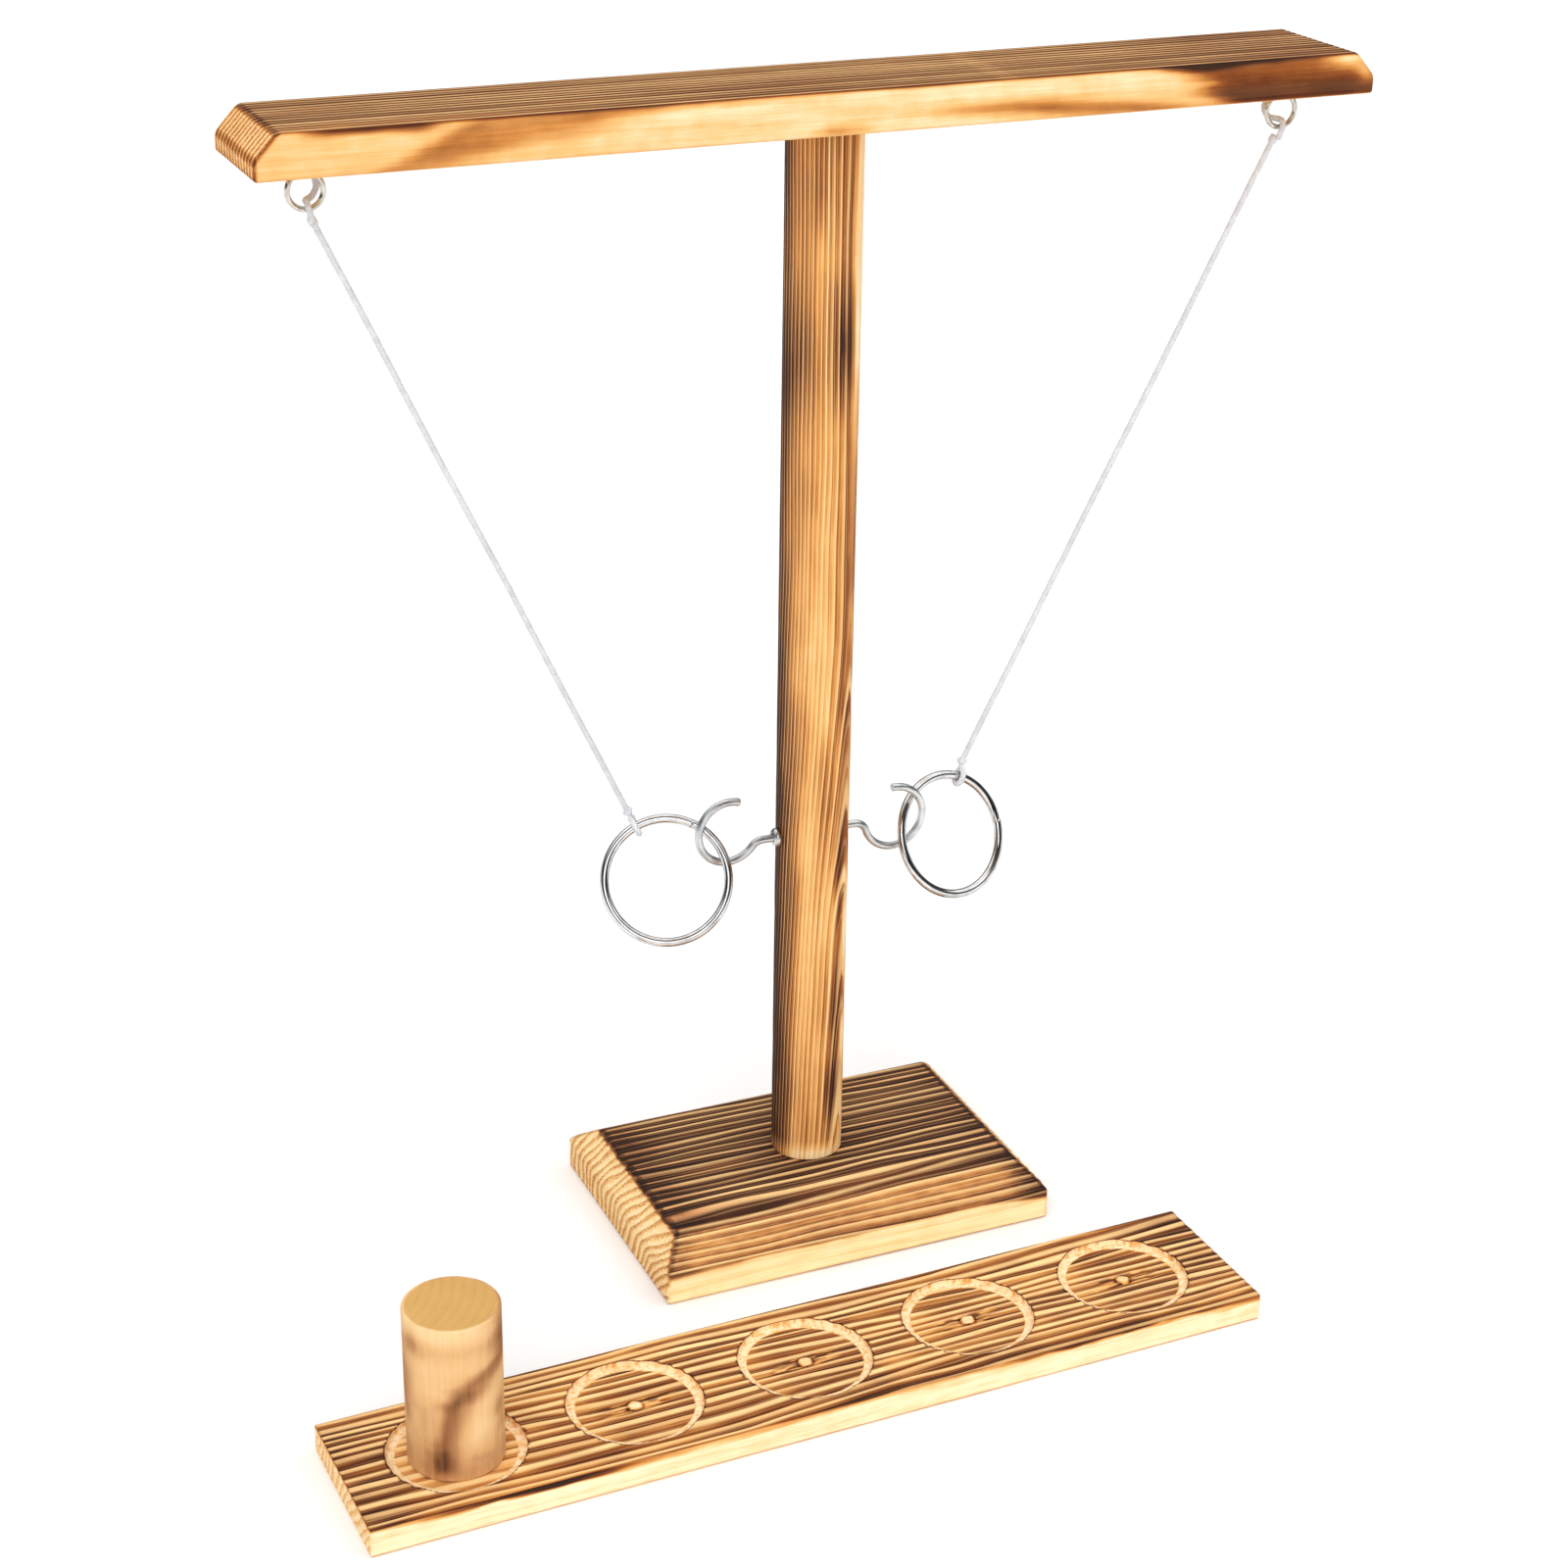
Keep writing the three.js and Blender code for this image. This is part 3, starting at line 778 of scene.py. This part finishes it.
def board_fields(plank, points, side, share):
    """Scorching of the score board: golden ridges with brown valleys, and pale cut edges."""
    x, y, z = points.T
    height = plank.levels[-1][2]
    wave = lumps(points, (45, 10, 6), 111)
    top = 0.49 + 0.13 * wave + 0.13 * noise(points, (9, 3, 3), 113)
    top += 0.2 * ease(108, 134, x) * ease(-14, 16, y) + 0.14 * ease(-105, -130, x)
    smear = ease(height - 2.6, height - 0.5, z + 1.5 * lumps(points, (16, 8, 2), 115))
    smears = blot(x, z, (-88, height), (26, 9)) + blot(x, z, (95, height), (38, 9)) + 0.25
    front = 0.02 + 0.04 * wave + 0.85 * smear * smears + 0.4 * ease(0.8, 0.1, z)
    burn = share["top"] * top + share["bottom"] * (0.3 + 0.1 * wave)
    burn += (share["front"] + share["back"]) * front
    burn += (share["left"] + share["right"]) * (0.06 + 0.06 * wave)
    scorched = 0.5 + noise(points, (11, 9, 9), 117)
    rim = 0.6 * scorched * (side["front"] + side["back"]) + 0.5 * (side["left"] + side["right"])
    burn += side["top"] * rim
    return burn, 1 - 0.85 * (share["front"] + share["back"])


def recess_floors(top):
    """Marks of the cutter in the recesses: a chattered pale rim, bare grain and a torn pip, with a
    painted shade line along each recess's top edge.
    """
    inner = RECESS["radius"] - RECESS["rim"]

    def after(points, shaped, burn, show, grain_end, years):
        x, y, z = points.T
        offsets = x[:, None] - np.array(recess_places())
        nearest = np.argmin(abs(offsets), axis=1)
        along = offsets[np.arange(len(x)), nearest]
        out = np.hypot(along, y)
        inside = (z > 1) & (out < RECESS["radius"] + 0.1)
        floor = inside & (z < top - 0.8 * RECESS["depth"])
        wall = inside & ~floor & (z < top - 0.1)
        # Points on each recess's top edge, which get a dark line of painted shade.
        shaded_brink = (z > top - 0.1) & (abs(out - RECESS["radius"]) < 0.05)
        rim = ease(inner - 0.25, inner + 0.25, out)
        chatter = noise(points, (0.7, 0.7, 3), 121)
        pip = 1 - ease(RECESS["pip"] - 0.4, RECESS["pip"] + 0.4, out)
        reach = ease(13, 6, abs(along) + 3 * noise(points, (9, 0.7, 9), 123))
        torn = reach * ease(3.4, 2.2, abs(y - 0.05 * along)) * (1 - rim)
        streaks = ease(-0.15, 0.3, noise(points, (3.5, 0.5, 5), 129))
        pale = np.array(RECESS["pale"])[nearest]
        base = 0.58 + 0.12 * noise(points, (14, 2, 2), 125) - 0.3 * pale
        base -= 0.18 * ease(-4, -16, along)
        base = base * (1 - 0.8 * torn) + 0.8 * torn * (0.2 + 0.66 * streaks)
        base = base * (1 - rim) + rim * (0.02 + 0.28 * chatter)
        moat = np.exp(-(((out - RECESS["pip"] - 0.5) / 0.4) ** 2))
        base = base * (1 - pip) + 0.1 * pip + 0.35 * moat
        depth = 0.3 * (0.5 - 0.5 * np.cos(TAU * years)) * (1 - rim) + 0.07 * rim * chatter
        depth = depth - 0.5 * pip + 0.25 * torn * noise(points, (3, 0.5, 3), 127)
        shaped[floor] = points[floor]
        shaped[floor, 2] -= depth[floor]
        burn = np.where(floor, base, burn)
        # Pale chattered walls, and painted shade darkening the brink.
        burn = np.where(wall, 0.06 + 0.3 * chatter, burn) + 0.5 * shaded_brink
        show = np.where(floor, show * (1 - 0.9 * rim) * (1 - pip) * (1 - 0.5 * torn), show)
        show = np.where(wall | shaded_brink, 0.1, show)
        return shaped, burn, show, np.where(floor, 0.25 * rim, grain_end)

    return after


def board_years(points):
    return year_count(points, pith=(-130, -70), pitch=3.05, wander=0.85, seed=131)


def add_score_board():
    top = BOARD["thickness"]
    half_x, half_y = BOARD["length"] / 2, BOARD["depth"] / 2
    plank = Plank([(half_x, half_y, 0), (half_x, half_y, top)], along=(0.2, 1.2))
    wood = wood_material("board_wood", 0, CARAMEL_WOOD, thin=0.46, faint=0.3, fade=0.42,
                         end_lines=0.18)
    make_plank("score_board", plank, board_years, board_fields, wood, radius=0.6, depth=0.42,
               seed=133, plain=("front", "back", "bottom", "left", "right"), body="board",
               place=on_node("score_board") @ Matrix.Rotation(BOARD["yaw"], 4, "Z"),
               cutters=[recess_cutter(x, top) for x in recess_places()],
               after=recess_floors(top))


# ---- Round wood ----

def round_profile(radius, height, edge, step):
    """(radius, height) points round a solid with rounded rims, evenly close together."""
    turn = np.linspace(0, math.pi / 2, 7)
    cap = np.arange(0, radius - edge, 0.4)
    lower = [(radius - edge + edge * math.sin(a), edge - edge * math.cos(a)) for a in turn]
    upper = [(r, height - z) for r, z in lower[::-1]]
    count = int(round((height - 2 * edge) / step))
    wall = [(radius, z) for z in np.linspace(edge, height - edge, count + 1)[1:-1]]
    return [(r, 0) for r in cap] + lower + wall + upper + [(r, height) for r in cap[::-1]]


def dowel(name, radius, edge, step, sides):
    """A round piece of its node's height: its mesh and that mesh's points."""
    mesh = new_mesh(name, *turned(round_profile(radius, half_size(name)[2], edge, step), sides))
    return mesh, read_points(mesh)


def add_post():
    mesh, points = dowel("post", POST_RADIUS, edge=0.4, step=2.0, sides=280)
    x, y, z = points.T
    facing, pitch = math.radians(-50), 1.3
    drift = 0.6 * noise(points, (60, 60, 120), 141) + 0.3 * noise(points, (8, 8, 30), 143)
    years = (x * math.cos(facing) + y * math.sin(facing)) / pitch + drift + 40
    years -= 4.6 * ease(-40, 190, z)
    turn = bearing(x, y, 114.6)
    burn = 0.3 + 0.2 * lumps(points, (9, 9, 60), 145) + 0.1 * noise(points, (5, 5, 14), 147)
    burn += 0.42 * ease(-42, -76, turn) * ease(-170, -120, turn)
    burn += 0.14 * ease(-14, -50, turn)
    burn += 0.12 * ease(-8, -50, turn) * ease(150, 110, z)
    burn += patches(turn, z, POST_PATCHES)
    burn -= 0.4 * ease(56, 66, turn) * ease(225, 275, z) * ease(150, 110, turn)
    burn -= 0.4 * ease(7, 1, z)
    radius = np.hypot(x, y)
    skin = ease(POST_RADIUS - 0.8, POST_RADIUS - 0.2, radius)
    depth = 0.1 * (0.5 - 0.5 * np.cos(TAU * years)) * skin
    depth += 0.02 * noise(points, (0.8, 0.8, 6), 149) * skin
    shrink = 1 - depth / np.maximum(radius, 1e-3)
    write_points(mesh, points * sheet(shrink, shrink, 1))
    write_values(mesh, burn=np.clip(burn * skin + 0.25 * (1 - skin), 0, 1),
                 years=years, show=skin, end=1 - skin)
    wood = wood_material("post_wood", 2, CARAMEL_WOOD, fibres=0.26, thin=0.36, fade=0.32)
    add_piece(mesh, on_node("post"), wood)


def add_peg():
    mesh, points = dowel("score_peg", PEG["radius"], PEG["edge"], step=0.6, sides=240)
    height = half_size("score_peg")[2]
    x, y, z = points.T
    years = np.hypot(x + 34, y - 22) / 2.9 + 0.3 * noise(points, (10, 10, 40), 151)
    flat = ease(PEG["radius"] - 0.7, PEG["radius"] - 1.2, np.hypot(x, y))
    wave = lumps(points, (14, 14, 9), 153)
    turn = bearing(x, y, 106.7) + 6 * wave
    around = turn * math.radians(PEG["radius"])
    burn = 0.24 + 0.12 * wave + 0.12 * ease(0.2, 0.7, lumps(points, (8, 8, 10), 155))
    curve = np.interp(z, *PEG_CURVE)
    lean = np.interp(z, PEG_CURVE[0], np.gradient(PEG_CURVE[1], PEG_CURVE[0]))
    off = (around - curve) / np.hypot(1, lean)
    burn += 0.5 * np.exp(-((off / np.where(off < 0, 2.3, 4.2)) ** 2)) * ease(-1, 5, z)
    burn += patches(around, z, PEG_PATCHES)
    burn += 0.35 * ease(120, 150, abs(turn)) * ease(0, 0.5, wave)
    # Darker towards the bottom; the paler band under the top edge is bare wood with a painted
    # highlight.
    burn += 0.16 * ease(13, 3, z) - 0.2 * ease(height - 8, height - 2, z)
    burn = burn * (1 - flat) + (0.36 + 0.12 * wave) * flat
    write_values(mesh, burn=np.clip(burn, 0, 1), years=years, show=0.3 * (1 - flat), pale=flat,
                 end=0.3 * flat)
    early = [(0.0, 242, 208, 156), (0.3, 224, 178, 124), (0.55, 186, 134, 90), (0.8, 146, 96, 60),
             (1.0, 90, 58, 42)]
    late = [(0.0, 226, 186, 122), (0.4, 212, 166, 98), (1.0, 170, 122, 68)]
    wood = wood_material("peg_wood", 2, early, late, fibres=0.14, fade=0.05, end_lines=0.2)
    add_piece(mesh, on_node("score_peg"), wood, "peg")


# ---- Metal ----

def metal_material(name, colour, roughness, scratches, edge, tint=None):
    """Plated steel wire: drawn scratches, stains of a tint and an uneven polish; edge is the tint
    of its glancing reflections, from 0 to 1."""
    m = new_material(name)
    scratch = m.noise((scratches, scratches * 0.7, scratches), 4.0, 0.7)
    cloud = m.noise((260.0, 260.0, 260.0), 3.0)
    dull = [c * 0.8 for c in (tint or colour)]
    polish = m.plus(m.times(scratch, 0.16), m.times(cloud, 0.1))
    m.bump(scratch, 0.00002, 0.12)
    return m.surface({"Base Color": m.ramp(cloud, [(0.25, *dull), (0.6, *colour)]),
                      "Roughness": m.plus(polish, roughness - 0.1), "Metallic": 1,
                      "Specular Tint": (edge, edge, edge, 1)})


def add_ring(side, chrome):
    """A wire ring whose two ends meet at a butt seam."""
    radius, wire = RING["radius"], RING["wire"]
    seam = math.radians(RING["seams"][side])
    near = np.array([-1.2, -0.5, -0.25, -0.14, -0.06, 0, 0.06, 0.14, 0.25, 0.5, 1.2]) / radius
    angles = np.sort(np.concatenate([np.linspace(0.08, TAU - 0.08, 300), near % TAU]))
    gap = angles - TAU * (angles > math.pi)
    notch = 1 - 0.16 * np.exp(-((gap * radius / 0.11) ** 2))
    ends = 0.06 * np.sign(gap) * np.exp(-((gap * radius / 2.5) ** 2))
    reach = radius + ends
    path = sheet(reach * np.cos(angles + seam), ends, reach * np.sin(angles + seam))
    add_wire(side + "_ring", path, wire * notch, 32, ring_frame(side), chrome,
             side + "_toss_ring", 50, closed=True)


def hook_line(side):
    """A hook's centreline, outwards along the first axis: shank, short bend, belly and tip."""
    rise, tip = HOOK_SHAPES[side]["rise"], math.radians(HOOK_SHAPES[side]["tip"])
    climb = rise + HOOK["bend"]
    run = math.sqrt((HOOK["belly"] + HOOK["bend"]) ** 2 - climb ** 2)
    start = HOOK["reach"] - run
    turn = math.atan2(climb, run)
    shank = [(x, 0) for x in np.arange(POST_RADIUS - HOOK["shank"], start, 0.5)]
    bend = arc((start, -HOOK["bend"]), HOOK["bend"], math.pi / 2, turn)
    belly = arc((HOOK["reach"], rise), HOOK["belly"], turn - math.pi, tip)
    return np.array(shank + bend + belly[1:])


def cut_ends(path, radius, nip):
    """Radii along a wire path that break the sharp corners of its two cut ends."""
    gone = distances(path)
    edge = np.minimum(gone, gone[-1] - gone)
    return radius - nip * (1 - ease(0, nip * 1.5, edge))


def add_hook(side, zinc):
    line = hook_line(side)
    tail = line[-1] - line[-2]
    tail /= np.linalg.norm(tail)
    line = np.concatenate([line[:-1], [line[-1] - 0.2 * tail, line[-1] - 0.08 * tail, line[-1]]])
    out = SIDES[side] * line[:, 0]
    path = sheet(out, 0.12 * np.sin(0.21 * out), line[:, 1])
    add_wire(side + "_hook", path, cut_ends(path, HOOK["wire"], 0.14), 28,
             on_post(0, HOOK["height"]), zinc)


def add_collar(side, zinc):
    """The domed disc on a hook's wire, against the post."""
    thick, rim, inner = COLLAR["thickness"], COLLAR["radius"], COLLAR["inner"]
    profile = [(inner, 0), (rim - 0.2, 0), (rim, 0.2), (rim, thick * 0.45),
               (rim - 0.25, thick * 0.7), (rim - 0.7, thick * 0.9), (inner + 0.5, thick),
               (inner, thick - 0.15), (inner, 0)]
    place = on_post(SIDES[side] * (POST_RADIUS + 0.1), HOOK["height"])
    turn = Matrix.Rotation(SIDES[side] * math.pi / 2, 4, "Y")
    add_piece(new_mesh(side + "_hook_collar", *turned(profile, 64)), place @ turn, zinc)


def eye_centre(side):
    return middle(side + "_screw_eye") + Vector((0, 0, (EYE["ring"] + EYE["wire"]) * MM))


def add_eye(side, nickel):
    """A screw eye bent from one wire: its shank runs down into a ring that stops short of it."""
    ring = EYE["ring"]
    start, stop = math.radians(62), math.radians(105 - 360)
    shank = [(0, z) for z in np.linspace(EYE["shank"], ring + 1.6, 22)]
    bend = [(0.05, ring + 0.9), (0.7, ring + 0.1)]
    loop = arc((0, 0), ring, start, stop, 0.3)
    flat = spline(np.array(shank + bend + loop), 0.25)
    aside = 0.35 * ease(200, len(flat), np.arange(len(flat)))
    path = sheet(-SIDES[side] * flat[:, 0], aside, flat[:, 1])
    threaded = (path[:, 2] > ring + 4.2) * (np.arange(len(path)) < 90)
    thread = 0.1 * abs(np.sin(TAU * path[:, 2] / 1.1)) * threaded
    add_wire(side + "_screw_eye", path, cut_ends(path, EYE["wire"], 0.1) - thread, 24,
             Matrix.Translation(eye_centre(side)), nickel)


# ---- Cord ----

def cord_material():
    """White braided cord: soft sheen, fine yarn, painted shade in the yarn's hollows and some
    soiling.
    """
    m = new_material("white_cord")
    yarn = m.noise((5200.0, 5200.0, 2600.0), 3.0)
    soil = m.noise((300.0, 300.0, 300.0), 2.0)
    # Painted shade: greyer where the yarn's bump sinks, mixed with patches of soiling.
    hollow_shade_and_soil = m.plus(m.times(yarn, 0.6), m.times(soil, 0.4))
    colour = m.ramp(hollow_shade_and_soil, [(0.3, 190, 191, 196), (0.6, 226, 227, 231)])
    m.bump(yarn, 0.00008, 0.6)
    return m.surface({"Base Color": colour, "Roughness": m.plus(0.5, m.times(yarn, 0.3)),
                      "Sheen Weight": 0.25})


def braid(angle, gone):
    """Relief of a plaited cover: two sets of strands that wind opposite ways."""
    pitch = TAU / 5.2
    one = np.cos(4 * angle + 4 * gone * pitch)
    other = np.cos(4 * angle - 4 * gone * pitch)
    return CORD["strand"] * np.maximum(one, other)


def add_cord_piece(name, path, place, body, material, thin=1.0):
    return add_wire(name, path, CORD["radius"] * thin, 24, place, material, body, 80, relief=braid)


def knot_path(size, turn):
    """An overhand knot drawn tight."""
    t = np.linspace(0.35, TAU - 0.35, 120) + turn
    return size * 0.42 * sheet(np.sin(t) + 2 * np.sin(2 * t), -1.5 * np.sin(3 * t),
                               np.cos(t) - 2 * np.cos(2 * t))


def add_cord(side, material):
    top = Vector(JOINTS[side + "_cord_swing"]["pos_m"])
    bottom = Vector(JOINTS[side + "_ring_tilt"]["pos_m"])
    along = (top - bottom).normalized().to_track_quat("Z", "Y").to_matrix().to_4x4()
    length = (top - bottom).length
    heights = np.linspace(0, length / MM, 900)
    slack = np.sin(math.pi * heights / heights[-1])
    wobble = noise(sheet(heights, 0, 0), (17, 9, 9), {"left": 161, "right": 163}[side])
    wander = noise(sheet(heights, 5, 0), (23, 9, 9), 165)
    path = sheet(0.3 * slack * wobble, 0.3 * slack * wander, heights)
    place = Matrix.Translation(bottom) @ along
    line, loop = side + "_line", side + "_loop"
    cord = add_cord_piece(side + "_cord", path, place, line, material)

    eye_bottom = Matrix.Translation(eye_centre(side) - Vector((0, 0, EYE["ring"] * MM)))
    p, lean, behind = -SIDES[side], TAIL["lean"], TAIL["behind"]
    tie_points = [(0.9 * p, -1.4, -3.2), (0.6 * p, -2, -1), (0.1 * p, -2.05, 0.7), (0, -0.9, 2.1),
                  (0.3 * p, 0.9, 2.2), (2.2 * p, 2.5, 2.6), (1.08 * lean * p, behind, 4.8),
                  (lean * p, behind, 7.4), (0.9 * lean * p, behind, TAIL["top"])]
    tie = add_cord_piece(side + "_eye_tie", spline(tie_points, 0.22), eye_bottom, "stand", material)
    swing = add_cord_piece(side + "_swing_knot", knot_path(CORD["knot"], 0.4),
                           Matrix.Translation(top) @ along, line, material, 0.92)

    on_ring, rim, bend = ring_frame(side), RING["radius"], CORD["loop"]
    turns = np.linspace(math.radians(72), math.radians(72 - 324), 90)
    round_wire = [(0.35 * math.cos(a / 2), bend * math.cos(a), rim + bend * math.sin(a))
                  for a in turns]
    loop_path = spline([(0.3, 0.3, rim + 3.3), *round_wire, (-0.3, -0.3, rim + 3.3)], 0.22)
    ring_loop = add_cord_piece(side + "_ring_loop", loop_path, on_ring, loop, material)
    above = on_ring @ Matrix.Translation((0, 0, (rim + 5) * MM))
    ring_knot = add_cord_piece(side + "_ring_knot", knot_path(CORD["knot"], 1.3), above, loop,
                               material, 0.92)


# ---- Studio ----

def add_camera():
    lens = bpy.data.cameras.new("camera")
    lens.lens = CAMERA["lens"]
    lens.sensor_width = CAMERA["film"]
    camera = new_object("camera", lens)
    camera.matrix_world = (
        on_post(0, 0)
        @ Matrix.Translation(CAMERA["from_post"])
        @ Matrix.Rotation(math.radians(CAMERA["yaw"]), 4, "Z")
        @ Matrix.Rotation(math.radians(90 - CAMERA["down"]), 4, "X")
        @ Matrix.Rotation(math.radians(CAMERA["roll"]), 4, "Z")
    )
    bpy.context.scene.camera = camera


def add_sun(name, toward, strength, spread):
    """A far, soft lamp in the direction toward; spread is how wide it looks."""
    light = bpy.data.lights.new(name, "SUN")
    light.energy = strength
    light.angle = math.radians(spread)
    lamp = new_object(name, light)
    lamp.rotation_euler = Vector(toward).to_track_quat("Z", "Y").to_euler()
    lamp.visible_glossy = False


def add_stage():
    """A plain pale floor and the lamps."""
    edge = (-FLOOR_REACH, FLOOR_REACH)
    mesh = bpy.data.meshes.new("floor")
    mesh.from_pydata([(x, y, 0) for x in edge for y in edge], [], [(0, 2, 3, 1)])
    floor = new_object("floor", mesh)
    m = new_material("floor_paper")
    paper = m.ramp(m.noise((4.0, 4.0, 4.0)), [(0.0, 246, 246, 246), (1.0, 252, 252, 252)])
    mesh.materials.append(m.surface({"Base Color": paper, "Roughness": 0.9,
                                     "Specular IOR Level": 0.1}))
    for name, sun in SUNS.items():
        add_sun(name, **sun)


def add_sky():
    """Soft light from above, with dark parts of the studio for the plated wire to reflect."""
    world = bpy.data.worlds.new("studio_sky")
    m = Nodes(world, "Background")
    direction = m.add("ShaderNodeTexCoord").outputs["Generated"]
    height = m.add("ShaderNodeSeparateXYZ", {0: direction}).outputs["Z"]
    facing = m.add("ShaderNodeVectorMath", {0: direction, 1: CAMERA_SIDE["toward"]},
                   operation="DOT_PRODUCT").outputs["Value"]
    dimmed = m.step(facing, *CAMERA_SIDE["dark"], 1.0, 0.05)
    lamp = m.step(facing, *CAMERA_SIDE["lamp"], 0.0, CAMERA_SIDE["brightness"])
    sky = m.ramp(height, SKY, lambda grey: grey * 3)
    bpy.context.scene.world = m.surface({"Color": m.plus(m.times(sky, dimmed), lamp)})
    bpy.context.scene.view_settings.view_transform = "Standard"


def finish_hidden_screws():
    steel = metal_material("screw_steel", (196, 194, 188), roughness=0.32, scratches=900.0,
                           edge=0.5, tint=(170, 160, 140))
    for name in ("base_screw", "crossbar_stud"):
        for part in frame["nodes"][name].material_slots:
            part.material = steel


def main():
    add_camera()
    cord = cord_material()
    for side in SIDES:
        add_cord(side, cord)
    chrome = metal_material("ring_chrome", (240, 240, 240), roughness=0.08, scratches=1500.0,
                            edge=0.12)
    zinc = metal_material("hook_zinc", (234, 237, 238), roughness=0.3, scratches=1100.0, edge=0.3)
    nickel = metal_material("eye_nickel", (230, 224, 212), roughness=0.15, scratches=1300.0,
                            edge=0.2, tint=(214, 200, 178))
    for side in SIDES:
        add_ring(side, chrome)
        add_hook(side, zinc)
        add_eye(side, nickel)
    add_collar("left", zinc)
    add_base()
    add_post()
    add_crossbar()
    add_score_board()
    add_peg()
    finish_hidden_screws()
    add_stage()
    add_sky()


main()
